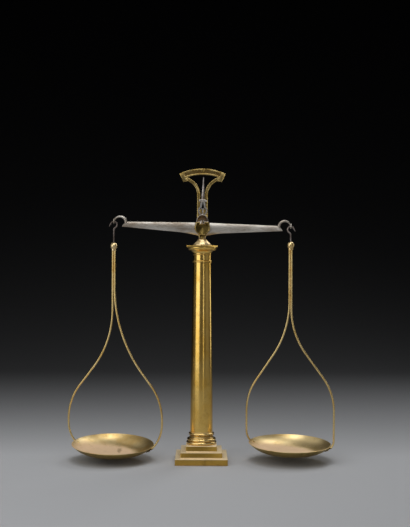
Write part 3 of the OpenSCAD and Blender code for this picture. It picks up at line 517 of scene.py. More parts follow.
class Bench:
    """Modelling steps that every piece uses, as they are done by hand."""

    @staticmethod
    def edit() -> None:
        """Opens the active piece in edit mode with everything selected."""
        bpy.ops.object.mode_set(mode="EDIT")
        bpy.ops.mesh.select_all(action="SELECT")

    @staticmethod
    def leave() -> None:
        """Goes back to object mode."""
        bpy.ops.object.mode_set(mode="OBJECT")

    @staticmethod
    def pull(x: float, y: float, z: float) -> None:
        """Extrudes what is selected by a step."""
        bpy.ops.mesh.extrude_region_move(TRANSFORM_OT_translate={"value": (x, y, z)})

    @classmethod
    def clear(cls) -> None:
        """Leaves edit mode and deselects everything."""
        if bpy.context.object and bpy.context.object.mode != "OBJECT":
            cls.leave()
        bpy.ops.object.select_all(action="DESELECT")

    @classmethod
    def pick(cls, *pieces: Thing) -> None:
        """Selects these pieces alone, the first one active."""
        cls.clear()
        for piece in pieces:
            piece.select_set(True)
        bpy.context.view_layer.objects.active = pieces[0]

    @classmethod
    def choose(cls, piece: Thing, picks: Picks) -> None:
        """Opens a piece in edit mode with only some of its faces selected.

        Args:
            piece: The piece.
            picks: Whether a face is selected.
        """
        cls.pick(piece)
        bpy.ops.object.mode_set(mode="EDIT")
        bpy.ops.mesh.select_mode(type="FACE")
        bpy.ops.mesh.select_all(action="DESELECT")
        cls.leave()
        for face in piece.data.polygons:
            face.select = picks(face)
        bpy.ops.object.mode_set(mode="EDIT")

    @classmethod
    def close(cls, name: str) -> Thing:
        """Ends the shaping of the active piece.

        Args:
            name: Name of the piece.

        Returns:
            The piece, with its doubles merged and its faces turned outwards.
        """
        bpy.ops.mesh.select_all(action="SELECT")
        bpy.ops.mesh.remove_doubles(threshold=DOUBLES)
        bpy.ops.mesh.normals_make_consistent(inside=False)
        cls.leave()
        bpy.context.object.name = name
        return bpy.context.object

    @classmethod
    def turned(cls, name: str, profile: Sequence[Point], segments: int = ROUND) -> Thing:
        """Turns a profile about the upright axis, ring by ring.

        Args:
            name: Name of the piece.
            profile: Radius and height of each ring, from one end to the other.
            segments: Number of faces round the axis.

        Returns:
            The piece, closed at both ends.
        """
        cls.clear()
        radius, height = profile[0]
        bpy.ops.mesh.primitive_circle_add(vertices=segments, radius=radius, fill_type="NGON",
                                          location=(0, 0, height))
        bpy.ops.object.transform_apply()
        cls.edit()
        for new_radius, new_height in profile[1:]:
            cls.pull(0, 0, new_height - height)
            share = new_radius / radius
            bpy.ops.transform.resize(value=(share, share, 1), center_override=(0, 0, new_height))
            radius, height = new_radius, new_height
        return cls.close(name)

    @classmethod
    def draw(cls, points: Sequence[Point3]) -> None:
        """Draws a line from point to point and leaves all of it selected in edit mode.

        Args:
            points: The points in order.
        """
        cls.clear()
        bpy.ops.mesh.primitive_plane_add(size=1, location=points[0])
        bpy.ops.object.transform_apply()
        cls.edit()
        bpy.ops.mesh.select_mode(type="VERT")
        bpy.ops.mesh.merge(type="CENTER")
        for start, end in zip(points, points[1:]):
            cls.pull(*(b - a for a, b in zip(start, end)))
        bpy.ops.mesh.select_all(action="SELECT")

    @classmethod
    def plate(cls, name: str, outline: Sequence[Point], y0: float, y1: float) -> Thing:
        """Draws an outline in the XZ plane point by point and extrudes it along Y.

        Args:
            name: Name of the piece.
            outline: Corners in order.
            y0: Place of the front.
            y1: Place of the back.

        Returns:
            The piece.
        """
        cls.draw([(x, y0, z) for x, z in outline])
        bpy.ops.mesh.edge_face_add()
        bpy.ops.mesh.select_all(action="SELECT")
        cls.pull(0, y1 - y0, 0)
        return cls.close(name)

    @classmethod
    def pin(cls, name: str, r: float, start: Point3, end: Point3, segments: int = 48,
            dome: float = 0.0) -> Thing:
        """A round pin between two points, with an optional domed end.

        Args:
            name: Name of the piece.
            r: Radius.
            start: Middle of the first end.
            end: Middle of the last end.
            segments: Number of faces round it.
            dome: Height of the dome on the last end.

        Returns:
            The piece.
        """
        axis = Vector(end) - Vector(start)
        straight = axis.length - dome
        profile = [(r, 0.0), (r, straight)]
        if dome:
            profile += [(r * cos(a), straight + dome * sin(a)) for a in angles(10, 80, 7)]
        lean = axis.to_track_quat("Z", "Y").to_matrix().to_4x4()
        return cls.move(cls.turned(name, profile, segments), Matrix.Translation(start) @ lean)

    @classmethod
    def tube(cls, name: str, path: Sequence[Point3], radii: Sequence[float]) -> Thing:
        """A round bar along a path.

        Args:
            name: Name of the piece.
            path: Points of the centre line.
            radii: Radius at each point.

        Returns:
            The piece as a mesh.
        """
        cls.clear()
        bpy.ops.curve.primitive_nurbs_path_add()
        curve = bpy.context.object
        curve.data.splines.clear()
        spline = curve.data.splines.new("POLY")
        spline.points.add(len(path) - 1)
        for point, place, radius in zip(spline.points, path, radii):
            point.co = (*place, 1.0)
            point.radius = radius
        curve.data.dimensions = "3D"
        curve.data.bevel_depth = 1.0
        curve.data.bevel_resolution = TUBE_SIDES // 2 - 2
        curve.data.use_fill_caps = True
        cls.pick(curve)
        bpy.ops.object.convert(target="MESH")
        bpy.ops.object.mode_set(mode="EDIT")
        return cls.close(name)

    @classmethod
    def move(cls, piece: Thing, matrix: Matrix) -> Thing:
        """Moves a piece's mesh and leaves its object at the origin.

        Args:
            piece: The piece.
            matrix: The move. Where it mirrors, the faces are turned outwards again.

        Returns:
            The piece.
        """
        cls.pick(piece)
        piece.matrix_world = matrix @ piece.matrix_world
        bpy.ops.object.transform_apply()
        if matrix.determinant() < 0:
            cls.edit()
            bpy.ops.mesh.normals_make_consistent(inside=False)
            cls.leave()
        return piece

    @classmethod
    def join(cls, name: str, pieces: Sequence[Thing]) -> Thing:
        """Joins pieces into one object.

        Args:
            name: Name of the whole.
            pieces: The pieces, which are used up.

        Returns:
            The whole.
        """
        cls.pick(*pieces)
        bpy.ops.object.join()
        bpy.context.object.name = name
        return bpy.context.object

    @classmethod
    def modify(cls, piece: Thing, kind: str, **settings: Any) -> Thing:
        """Adds a modifier and applies it.

        Args:
            piece: The piece.
            kind: Blender's name of the modifier.
            settings: Its attributes.

        Returns:
            The piece.
        """
        cls.pick(piece)
        modifier = piece.modifiers.new(kind.lower(), kind)
        for key, value in settings.items():
            setattr(modifier, key, value)
        bpy.ops.object.modifier_apply(modifier=modifier.name)
        return piece

    @classmethod
    def combine(cls, piece: Thing, other: Thing, operation: str = "DIFFERENCE") -> Thing:
        """Applies a boolean.

        Args:
            piece: The piece that it changes.
            other: The other piece, which is used up.
            operation: Blender's name of the boolean.

        Returns:
            The piece.
        """
        cls.modify(piece, "BOOLEAN", object=other, operation=operation, solver="EXACT")
        bpy.data.objects.remove(other)
        return piece

    @classmethod
    def soften(cls, piece: Thing, width: float, segments: int = 2, angle: float = 30.0) -> Thing:
        """Rounds the sharp edges of a piece."""
        return cls.modify(piece, "BEVEL", width=width, segments=segments, limit_method="ANGLE",
                          angle_limit=radians(angle), use_clamp_overlap=True)

    @classmethod
    def smooth(cls, piece: Thing, angle: float) -> None:
        """Shades a piece smooth, except over its sharp edges."""
        cls.pick(piece)
        bpy.ops.object.shade_smooth_by_angle(angle=radians(angle))


class Workshop:
    """Puts finished pieces in their place and on their body."""

    def __init__(self, frame: dict[str, Any]) -> None:
        """Keeps the loaded frame and makes the finishes.

        Args:
            frame: The loaded model.
        """
        self.frame = frame
        self.finish = {finish.name: finish.make() for finish in FINISHES}
        self.count = 0

    def place(self, piece: Thing, body: str, slot: str, finish: str, nodes: Sequence[str],
              matrix: Matrix | None = None, angle: float = SHARP) -> Thing:
        """Brings a piece to metres, dresses it and puts it on its body.

        Args:
            piece: The piece, in millimetres.
            body: Name of the body that it rides on.
            slot: Name of its material slot in the record; not used.
            finish: Name of its finish.
            nodes: Names of the nodes that it stands for.
            matrix: Its place in millimetres, or None where it is in place.
            angle: Edges sharper than this stay sharp.

        Returns:
            The piece.
        """
        Bench.move(piece, Matrix.Scale(MM, 4) @ (matrix or Matrix.Identity(4)))
        Bench.smooth(piece, angle)
        piece.data.materials.clear()
        piece.data.materials.append(self.finish[finish])
        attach(piece, body)
        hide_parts(*nodes)
        self.count += 1
        LOG.info("piece %s on %s, %d faces", piece.name, body, len(piece.data.polygons))
        return piece

    def line(self, piece: Thing, finish: str, picks: Picks, rim: float = 0.0) -> None:
        """Gives some faces of a placed piece a second finish.

        Args:
            piece: The piece, in metres.
            finish: Name of the second finish.
            picks: Whether a face takes it.
            rim: Width of the edge that keeps the first finish, in millimetres.
        """
        piece.data.materials.append(self.finish[finish])
        Bench.choose(piece, picks)
        if rim:
            bpy.ops.mesh.inset(thickness=rim * MM, depth=0)
        Bench.leave()
        for face in piece.data.polygons:
            if face.select:
                face.material_index = 1

    def dress(self, node: str, finish: str) -> None:
        """Gives a node of the model a better material."""
        for slot in self.frame["nodes"][node].material_slots:
            slot.material = self.finish[finish]
        LOG.info("node %s dressed", node)


@dataclass
class Layout:
    """Places that several sub-assemblies share."""

    plinth_h: float = 34.5
    base_h: float = 25.0
    shaft_h: float = 336.0
    capital_h: float = 30.5
    abacus_t: float = 3.4
    cap_h: float = 12.5
    pivot_rise: float = 37.1
    eye_x: float = 176.9
    eye_drop: float = 7.5
    rest_tilt: float = 1.35
    bow_drop: float = 395.2

    @property
    def capital_z(self) -> float:
        """Height of the shaft's top."""
        return self.plinth_h + self.base_h + self.shaft_h

    @property
    def cap_z(self) -> float:
        """Height of the abacus's top."""
        return self.capital_z + self.capital_h + self.abacus_t

    @property
    def post_z(self) -> float:
        """Height of the cheeks' foot."""
        return self.cap_z + self.cap_h

    @property
    def pivot_z(self) -> float:
        """Height of the knife's edge."""
        return self.post_z + self.pivot_rise

    def on_pivot(self) -> Matrix:
        """Place of what is measured from the knife's edge and doesn't tilt."""
        return Matrix.Translation((0, 0, self.pivot_z))

    def on_beam(self) -> Matrix:
        """Place of the beam's own coordinates."""
        return self.on_pivot() @ Matrix.Rotation(radians(self.rest_tilt), 4, "Y")

    def bearing(self, side: Side) -> Vector:
        """Place of an end bearing's edge."""
        return self.on_beam() @ Vector((side.value * self.eye_x, 0, -self.eye_drop))


@dataclass
class Stand:
    """Plinth, column, capital and domed cap."""

    layout: Layout
    plinth_w: float = 103.0
    tread: float = 10.5
    foot_h: float = 12.5
    step_h: float = 11.0
    nosing: float = 0.9
    torus_r: float = 30.0
    waist_in: float = 4.8
    foot_r: float = 22.4
    top_r: float = 18.3
    entasis: float = 0.5
    abacus_w: float = 61.4
    cap_rim_r: float = 18.3
    cap_shoulder_r: float = 17.6
    cap_top_r: float = 9.2
    cap_rim_h: float = 2.0

    def build(self, shop: Workshop) -> None:
        """Models and places the stand's pieces.

        Args:
            shop: The workshop.
        """
        for make, finish, node in ((self._plinth, "cast_brass", "plinth"),
                                   (self._base, "moulding_brass", "column_base"),
                                   (self._shaft, "turned_brass", "column_shaft"),
                                   (self._capital, "turned_brass", "capital"),
                                   (self._cap, "cap_brass", "dome_cap")):
            shop.place(make(), "stand", "stand_brass", finish, [node])

    def _plinth(self) -> Thing:
        """Three steps, raised from a slab by insetting its top.

        Returns:
            The piece.
        """
        Bench.clear()
        bpy.ops.mesh.primitive_cube_add(size=1, location=(0, 0, self.foot_h / 2))
        bpy.ops.transform.resize(value=(self.plinth_w, self.plinth_w, self.foot_h))
        bpy.ops.object.transform_apply()
        Bench.choose(bpy.context.object, lambda face: face.normal.z > FULL_FACE)
        for _ in range(2):
            bpy.ops.mesh.inset(thickness=self.tread, depth=0)
            Bench.pull(0, 0, self.step_h)
        return Bench.soften(Bench.close("plinth_steps"), self.nosing, 3)

    def _base(self) -> Thing:
        """Two toruses, a hollow and a ring under the shaft.

        Returns:
            The piece.
        """
        z = self.layout.plinth_h
        waist = self.torus_r - self.waist_in
        profile = [(waist, z)]
        profile += arc(self.torus_r - 3.25, z + 3.25, 3.25, -90, 90, 14)
        profile += [(waist, z + 6.5), (waist, z + 7)]
        profile += arc(self.torus_r - 3.7, z + 9.5, 2.5, -90, 90, 12)
        profile += [(waist, z + 12), (waist, z + 13.05)]
        profile += arc(waist + 0.7, z + 15.8, 2.8, 255, 105, 12)
        profile += [(waist, z + 18.55)]
        profile += arc(waist - 1.8, z + 20.7, 2.1, -90, 90, 12)
        profile += [(self.foot_r + 0.5, z + 22.8), (self.foot_r + 0.5, z + self.layout.base_h - 0.3),
                    (self.foot_r + 0.2, z + self.layout.base_h)]
        return Bench.turned("base_mouldings", profile)

    def _radius(self, share: float) -> float:
        """Radius of the shaft at a share of its height."""
        return self.foot_r + (self.top_r - self.foot_r) * share + self.entasis * 4 * share * (1 - share)

    def _shaft(self) -> Thing:
        """The tapered shaft with its slight swelling."""
        z, h = self.layout.plinth_h + self.layout.base_h, self.layout.shaft_h
        profile = [(self._radius(i / 40), z + h * i / 40) for i in range(41)]
        return Bench.turned("tapered_shaft", profile)

    def _capital(self) -> Thing:
        """Astragal, neck, flared echinus and square abacus.

        Returns:
            The piece.
        """
        z = self.layout.capital_z
        half = self.abacus_w / 2
        neck, lip = self.top_r + 0.1, half - 0.9
        mid = neck + (lip - neck) * 0.64
        ledge = mid + 0.8
        profile = [(neck, z), (neck + 0.9, z + 0.1), (neck + 0.9, z + 1.5)]
        profile += arc(neck + 0.3, z + 3.0, 1.5, -90, 90, 10)
        profile += [(neck, z + 4.5), (neck, z + 15.5)]
        profile += arc(neck, z + 16.5, 1.0, -90, 90, 8)
        profile += [(neck + 0.6 + (mid - neck - 0.6) * (1 - cos(a)), z + 17.5 + 7.15 * sin(a))
                    for a in angles(0, 90, 12)]
        profile += [(ledge, z + 24.65), (ledge, z + 25.65)]
        profile += [(ledge + (lip - ledge) * sin(a), z + 25.65 + 4.85 * (1 - cos(a)))
                    for a in angles(0, 90, 10)[1:]]
        bell = Bench.turned("capital_bell", profile)
        top = z + self.layout.capital_h
        slab = Bench.plate("abacus", upright(top, top + self.layout.abacus_t, half), -half, half)
        return Bench.join("capital_and_abacus", [bell, Bench.soften(slab, 0.5)])

    def _cap(self) -> Thing:
        """The ogee cap under the cheeks.

        Returns:
            The piece.
        """
        z, h, rim = self.layout.cap_z, self.layout.cap_h - self.cap_rim_h, self.cap_rim_r
        flare = self.cap_shoulder_r - self.cap_top_r
        profile = [(rim - 0.3, z), (rim, z + 0.3), (rim, z + 1.6), (rim - 0.4, z + 2.0)]
        profile += [(self.cap_top_r + flare * (1 + cos(a)) / 2, z + self.cap_rim_h + h * a / pi)
                    for a in angles(0, 180, 24)]
        return Bench.turned("ogee_cap", profile)


@dataclass
class Cheeks:
    """The two pear-shaped cheeks, their steel bearing heads and screws."""

    layout: Layout
    r: float = 15.5
    drop: float = 13.0
    top_r: float = 11.0
    top: float = 12.4
    foot_half: float = 6.9
    gap: float = 8.0
    thick: float = 3.2
    panel_t: float = 0.8
    panel_in: float = 1.3
    head_drop: float = 2.5
    bore_r: float = 3.5
    screw_x: float = 4.8
    screw_r: float = 1.9
    block_h: float = 4.7

    def outline(self, inset: float = 0.0) -> list[Point]:
        """Corners of the pear shape, drawn in from its edge.

        Args:
            inset: How far it is drawn in.

        Returns:
            The corners, from the foot's right end round.
        """
        low_z = self.layout.pivot_z - self.drop
        top_z = self.layout.pivot_z + self.top - self.top_r
        slope = degrees(asin((self.r - self.top_r) / (top_z - low_z)))
        low_r, foot = self.r - inset, self.foot_half - inset
        start = degrees(acos(foot / low_r))
        right = [(foot, self.layout.post_z), *arc(0, low_z, low_r, -start, slope, 22),
                 *arc(0, top_z, self.top_r - inset, slope, 90, 16)]
        return right + [(-x, z) for x, z in reversed(right[:-1])]

    def build(self, shop: Workshop) -> None:
        """Models and places the cheeks and what is set in them.

        Args:
            shop: The workshop.
        """
        half = self.gap / 2
        back = half + self.thick
        face_y = -back - self.panel_t
        for node, y0, y1 in (("front_cheek", -back, -half), ("rear_cheek", half, back)):
            low, high = (Bench.combine(self._layer(y0, y1), self._seat(y0, y1), operation)
                         for operation in ("DIFFERENCE", "INTERSECT"))
            if y0 < 0:
                low = Bench.combine(low, self._panel(face_y), "UNION")
                layer = self._layer(face_y, 0.5 - back)
                layer = Bench.combine(layer, self._seat(face_y, -back), "INTERSECT")
                high = Bench.combine(high, layer, "UNION")
            bore_z = self.layout.pivot_z + self.bore_r - 0.05
            bore = Bench.pin("bore", self.bore_r, (0, min(y0, face_y) - 1, bore_z), (0, y1 + 1, bore_z))
            low.name, high.name = node + "_plate", node + "_head"
            Bench.combine(high, bore)
            shop.place(Bench.soften(low, 0.6, 3), "stand", "cheek_brass", "frame_brass", [node])
            shop.line(low, "patinated_brass", self._flat, 0.9)
            shop.place(Bench.soften(high, 1.0, 3), "stand", "bright_steel", "filed_steel",
                       [node.replace("cheek", "bearing")])
            shop.line(high, "browned_steel", self._flat, 1.3)
        z = self.layout.post_z + self.block_h / 2
        screws = []
        for x in (-self.screw_x, self.screw_x):
            head = Bench.pin("screw_head", self.screw_r, (x, -back, z), (x, -back - 0.8, z), 32, 0.35)
            slot = Bench.plate("slot", upright(z - 0.25, z + 0.25, 3, x=x), -back - 2, -back - 0.45)
            screws.append(Bench.combine(head, slot))
            screws.append(Bench.pin("screw_end", 1.2, (x, half, z), (x, back, z), 32))
        shop.place(Bench.join("cheek_screw_heads", screws), "stand", "bright_steel", "browned_steel",
                   ["cheek_screws"])

    @staticmethod
    def _flat(face: bpy.types.MeshPolygon) -> bool:
        """Whether a face looks to the front or the back."""
        return abs(face.normal.y) > FULL_FACE

    def _layer(self, y0: float, y1: float) -> Thing:
        """A plate of the whole pear shape."""
        return Bench.plate("layer", self.outline(), y0, y1)

    def _seat(self, y0: float, y1: float) -> Thing:
        """Space that the bearing head takes, with its dovetail."""
        seat, side = self.layout.pivot_z - self.head_drop, 2 * self.r
        shape = [(-side, seat), (-4, seat), (-5, seat - 4), (5, seat - 4), (4, seat), (side, seat),
                 (side, seat + side), (-side, seat + side)]
        return Bench.plate("seat", shape, y0 - 1, y1 + 1)

    def _panel(self, y0: float) -> Thing:
        """The raised field of the front cheek.

        Args:
            y0: Place of its front.

        Returns:
            The piece.
        """
        field_z = self.layout.post_z + 2 * self.block_h
        panel = Bench.plate("panel", self.outline(self.panel_in), y0, y0 + self.panel_t + 0.5)
        keep = Bench.plate("keep", upright(field_z, field_z + 60, 2 * self.r), y0 - 1, y0 + 3)
        return Bench.combine(Bench.combine(panel, keep, "INTERSECT"), self._seat(y0 - 2, y0 + 3))


@dataclass
class IndexFrame:
    """The fork and grooved arch that the pointer is read against."""

    layout: Layout
    arch_r: float = 105.5
    band: float = 12.0
    half_angle: float = 26.0
    block_angle: float = 4.5
    block_drop: float = 6.0
    scroll_r: float = 3.4
    arm_w: float = 6.0
    arm_x: float = 7.6
    arm_foot_z: float = 12.45
    bend_z: float = 52.0
    bend_r: float = 34.5
    bend_angle: float = 65.0
    front: float = 4.5
    back: float = 10.4
    tip_len: float = 11.8
    foot_t: float = 3.2
    foot_top: float = 24.0
    groove: float = 1.0
    groove_in: float = 2.5
    rivet_x: float = 5.5
    rivet_z: float = -9.0

    def build(self, shop: Workshop) -> None:
        """Models and places the frame and its rivets.

        Args:
            shop: The workshop.
        """
        parts = [self._arch(), self._mark(), self._foot()]
        parts += [make(side) for make in (self._arm, self._block) for side in Side]
        shop.place(Bench.join("index_fork_and_arch", parts), "stand", "stand_brass", "frame_brass",
                   ["index_frame"], self.layout.on_pivot())
        z = self.rivet_z
        heads = [Bench.pin("rivet", 2.1, (x, self.back, z), (x, self.back + 0.8, z), 32, 0.5)
                 for x in (-self.rivet_x, self.rivet_x)]
        shop.place(Bench.join("index_rivet_heads", heads), "stand", "bright_steel", "filed_steel",
                   ["index_rivets"], self.layout.on_pivot())

    @staticmethod
    def _ring(name: str, r0: float, r1: float, a0: float, a1: float, y0: float, y1: float,
              steps: int = 40) -> Thing:
        """A piece of a flat ring about the knife's edge.

        Args:
            name: Name of the piece.
            r0: Inner radius.
            r1: Outer radius.
            a0: Angle of the first end, off the vertical.
            a1: Angle of the last end.
            y0: Place of the front.
            y1: Place of the back.
            steps: Number of faces along it.

        Returns:
            The piece.
        """
        outline = arc(0, 0, r1, 90 - a0, 90 - a1, steps) + arc(0, 0, r0, 90 - a1, 90 - a0, steps)
        return Bench.plate(name, outline, y0, y1)

    def _arch(self) -> Thing:
        """The arch with its groove.

        Returns:
            The piece.
        """
        reach, low = self.half_angle - self.block_angle, self.arch_r - self.band
        arch = self._ring("arch", low, self.arch_r, -reach - 1, reach + 1, self.front, self.back)
        groove = self._ring("groove", low + self.groove_in, self.arch_r - self.groove_in, -reach, reach,
                            self.front - 1, self.front + self.groove)
        return Bench.soften(Bench.combine(arch, groove), 0.35)

    def _mark(self) -> Thing:
        """The raised triangle that shows the middle.

        Returns:
            The piece.
        """
        low, high = self.arch_r - self.band + 2.3, self.arch_r - 2.3
        shape = [(0, low), (4, high), (-4, high)]
        return Bench.soften(Bench.plate("mark", shape, self.front + 0.2, self.front + 2), 0.2)

    def _foot(self) -> Thing:
        """The flat foot behind the rear cheek.

        Returns:
            The piece.
        """
        half = self.arm_x + self.arm_w / 2 + 0.15
        shape = arc(0, -5, half, 180, 360, 24) + [(half, self.foot_top), (-half, self.foot_top)]
        return Bench.soften(Bench.plate("foot", shape, self.back - self.foot_t, self.back), 0.4)

    def _arm(self, side: Side) -> Thing:
        """One arm of the fork, upright and then bent outwards.

        Args:
            side: The side of the fork.

        Returns:
            The piece.
        """
        half, cx = self.arm_w / 2, self.arm_x + self.bend_r
        end = 180 - self.bend_angle
        inner = arc(cx, self.bend_z, self.bend_r + half, 180, end, 18)
        outer = arc(cx, self.bend_z, self.bend_r - half, end, 180, 18)
        turn = radians(90 - self.bend_angle)
        step_x, step_z = cos(turn) * self.tip_len, sin(turn) * self.tip_len
        tip = [(x + step_x, z + step_z) for x, z in (inner[-1], outer[0])]
        shape = [(self.arm_x - half, self.arm_foot_z), *inner, *tip, *outer,
                 (self.arm_x + half, self.arm_foot_z)]
        shape = [(side.value * x, z) for x, z in shape]
        return Bench.soften(Bench.plate("arm", shape, self.front + 0.15, self.back - 0.15), 0.7, 3)

    def _block(self, side: Side) -> Thing:
        """The block with a scrolled foot at one end of the arch.

        Args:
            side: The side of the arch.

        Returns:
            The piece.
        """
        inner = self.arch_r - self.band - self.block_drop
        start = side.value * (self.half_angle - self.block_angle)
        block = self._ring("block", inner, self.arch_r + 0.3, start, side.value * self.half_angle,
                           self.front - 0.3, self.back + 0.3, 6)
        angle = radians(self.half_angle - 2 * degrees(atan(self.scroll_r / inner)))
        middle = inner + self.scroll_r / 2
        x, z = side.value * sin(angle) * middle, cos(angle) * middle
        scroll = Bench.pin("scroll", self.scroll_r, (x, self.back, z), (x, self.front, z))
        return Bench.soften(Bench.combine(block, scroll, "UNION"), 0.5)


@dataclass
class Beam:
    """The iron beam with its swan necks, knife and pointer."""

    layout: Layout
    keen: float = 28.0
    mid_t: float = 7.0
    end_t: float = 5.0
    top_mid: float = 3.4
    top_end: float = 5.5
    under_end: float = 15.4
    under_mid: float = 26.2
    belly: float = 4.7
    reach: float = 44.0
    flat: float = 15.5
    neck_r: float = 14.0
    neck_t: float = 4.0
    neck_flat: float = 1.25
    root_extra: float = 1.0
    lip_out: float = 10.3
    lip_t: float = 1.2
    eye_t: float = 2.6
    eye_r: float = 2.4
    eye_outer: float = 5.2
    boss_r: float = 9.0
    steps: int = 48
    blade_z: float = 43.5
    pointer_half_t: float = 1.2
    ring_r: float = 9.4
    ring_rim: float = 2.8
    ring_z: float = 20.8
    bar_z: float = 40.6
    bar_half: float = 2.2

    @property
    def neck_x(self) -> float:
        """Place of the swan neck's middle."""
        return self.layout.eye_x - self.neck_r + self.eye_t / 2

    @property
    def lip_x(self) -> float:
        """Place of the lip's end."""
        return self.neck_x - self.neck_r + self.lip_out

    def under(self, x: float) -> float:
        """Height of the underside at a distance along the beam."""
        share = 1 - abs(x) / self.lip_x
        belly = self.belly * max(0.0, 1 - abs(x) / self.reach) ** 1.6
        return -(self.under_end + (self.under_mid - self.under_end) * share + belly)

    def top(self, x: float) -> float:
        """Height of the top edge at a distance along the beam.

        Args:
            x: The distance.

        Returns:
            The height, from the knife's edge.
        """
        root_x = self.neck_x - self.neck_r + self.neck_t / 2
        root_in = root_x + self.neck_t / 2 + self.root_extra
        far, eye_drop = abs(x), self.layout.eye_drop
        if far <= self.flat:
            return -self.top_mid
        if far <= root_x:
            fall = self.top_end - self.top_mid
            return -self.top_mid - fall * (far - self.flat) / (root_x - self.flat)
        if far <= root_in:
            return -self.top_end - (eye_drop - self.top_end) * (far - root_x) / (root_in - root_x)
        low = self.lip_t - self.under_end
        return -eye_drop + (low + eye_drop) * (far - root_in) / (self.lip_x - root_in)

    def half_thickness(self, x: float) -> float:
        """Half of the beam's thickness at a distance along it."""
        share = max(0.0, (abs(x) - self.flat) / (self.lip_x - self.flat))
        return (self.mid_t + (self.end_t - self.mid_t) * share) / 2

    def build(self, shop: Workshop) -> None:
        """Models and places the beam, its knife and its pointer.

        Args:
            shop: The workshop.
        """
        place, half = self.layout.on_beam(), self.mid_t / 2
        boss = Bench.pin("boss", self.boss_r, (0, half, 1), (0, -half, 1), 64)
        parts = [self._bar(), Bench.soften(boss, 0.5), *(self._neck(side) for side in Side)]
        shop.place(Bench.join("beam_with_swan_necks", parts), "beam", "iron", "scraped_iron", ["beam"],
                   place, self.keen)
        knife = Bench.plate("knife_edge", [(0, 0), (2.6, 4.5), (-2.6, 4.5)], -6.9, 6.9)
        shop.place(Bench.soften(knife, 0.08, 1), "beam", "bright_steel", "filed_steel",
                   ["centre_knife"], place)
        pointer = shop.place(self._pointer(), "beam", "bright_steel", "filed_steel", ["pointer"], place)
        blade_z = (self.layout.pivot_z + self.blade_z) * MM
        shop.line(pointer, "worn_blade", lambda face: face.center.z > blade_z)

    def _bar(self) -> Thing:
        """The bar, with bevelled flanks that follow its depth.

        Returns:
            The piece.
        """
        xs = [self.lip_x * i / self.steps for i in range(-self.steps, self.steps + 1)]
        outline = [(x, self.under(x)) for x in xs] + [(x, self.top(x)) for x in reversed(xs)]
        bar = Bench.plate("bar", outline, 0, self.mid_t / 2)
        for vertex in bar.data.vertices:
            vertex.co.y = 0.0 if vertex.co.y < 0.1 else self.half_thickness(vertex.co.x) * 0.45
        Bench.choose(bar, lambda face: self._is_flank(face) and face.center.y > 0.5)
        Bench.pull(0, 0.5, 0)
        Bench.leave()
        for face in bar.data.polygons:
            if self._is_flank(face) and face.select:
                for index in face.vertices:
                    self._bevel_vertex(bar.data.vertices[index])
        for face in bar.data.polygons:
            face.select = self._is_flank(face) and abs(face.center.y) < 0.01
        bpy.ops.object.mode_set(mode="EDIT")
        bpy.ops.mesh.delete(type="FACE")
        Bench.leave()
        Bench.modify(bar, "MIRROR", use_axis=(False, True, False), merge_threshold=0.001)
        bpy.ops.object.mode_set(mode="EDIT")
        return Bench.soften(Bench.close("bar"), 0.25, 2, 25)

    @staticmethod
    def _is_flank(face: bpy.types.MeshPolygon) -> bool:
        """Whether a face is one of the bar's two long sides."""
        return len(face.vertices) > 20

    def _bevel_vertex(self, vertex: bpy.types.MeshVertex) -> None:
        """Draws a corner of the flank in from the bar's edge.

        Args:
            vertex: The corner.
        """
        x, _, z = vertex.co
        depth = self.top(x) - self.under(x)
        upper = z > (self.top(x) + self.under(x)) / 2
        vertex.co.y = self.half_thickness(x)
        vertex.co.z = z - 0.3 * depth if upper else z + 0.22 * depth
        if abs(x) > self.lip_x - 0.1:
            vertex.co.x = copysign(self.lip_x - 0.6, x)

    def _neck(self, side: Side) -> Thing:
        """One swan neck and its eye, drawn out of the beam's end.

        Args:
            side: The side of the beam.

        Returns:
            The piece.
        """
        path, sizes = [], []
        shift = self.neck_t - self.eye_t
        inner_r = self.neck_r - self.neck_t
        for angle in angles(186, -4, 34):
            across = Vector((cos(angle), sin(angle)))
            outer = across * self.neck_r
            b = -shift * across.x
            inner = across * (-b + sqrt(b * b - shift * shift + inner_r * inner_r))
            middle = (outer + inner) / 2
            path.append((self.neck_x + middle.x, 0.0, middle.y - self.layout.eye_drop))
            sizes.append((outer - inner).length / 2)
        neck = Bench.tube("neck", path, sizes)
        for vertex in neck.data.vertices:
            vertex.co.y *= self.neck_flat
        wall = self.eye_outer - self.eye_r
        bpy.ops.mesh.primitive_torus_add(major_segments=64, minor_segments=20, minor_radius=wall / 2,
                                         major_radius=(self.eye_outer + self.eye_r) / 2)
        eye = bpy.context.object
        bpy.ops.transform.resize(value=(1, 1, self.eye_t / wall))
        bpy.ops.object.transform_apply()
        Bench.move(eye, Matrix.Translation((self.layout.eye_x, 0, self.eye_r - self.layout.eye_drop))
                   @ Matrix.Rotation(pi / 2, 4, "Y"))
        whole = Bench.join("swan_neck", [neck, eye])
        if side is Side.LEFT:
            Bench.move(whole, Matrix.Scale(-1, 4, (1, 0, 0)))
        return whole

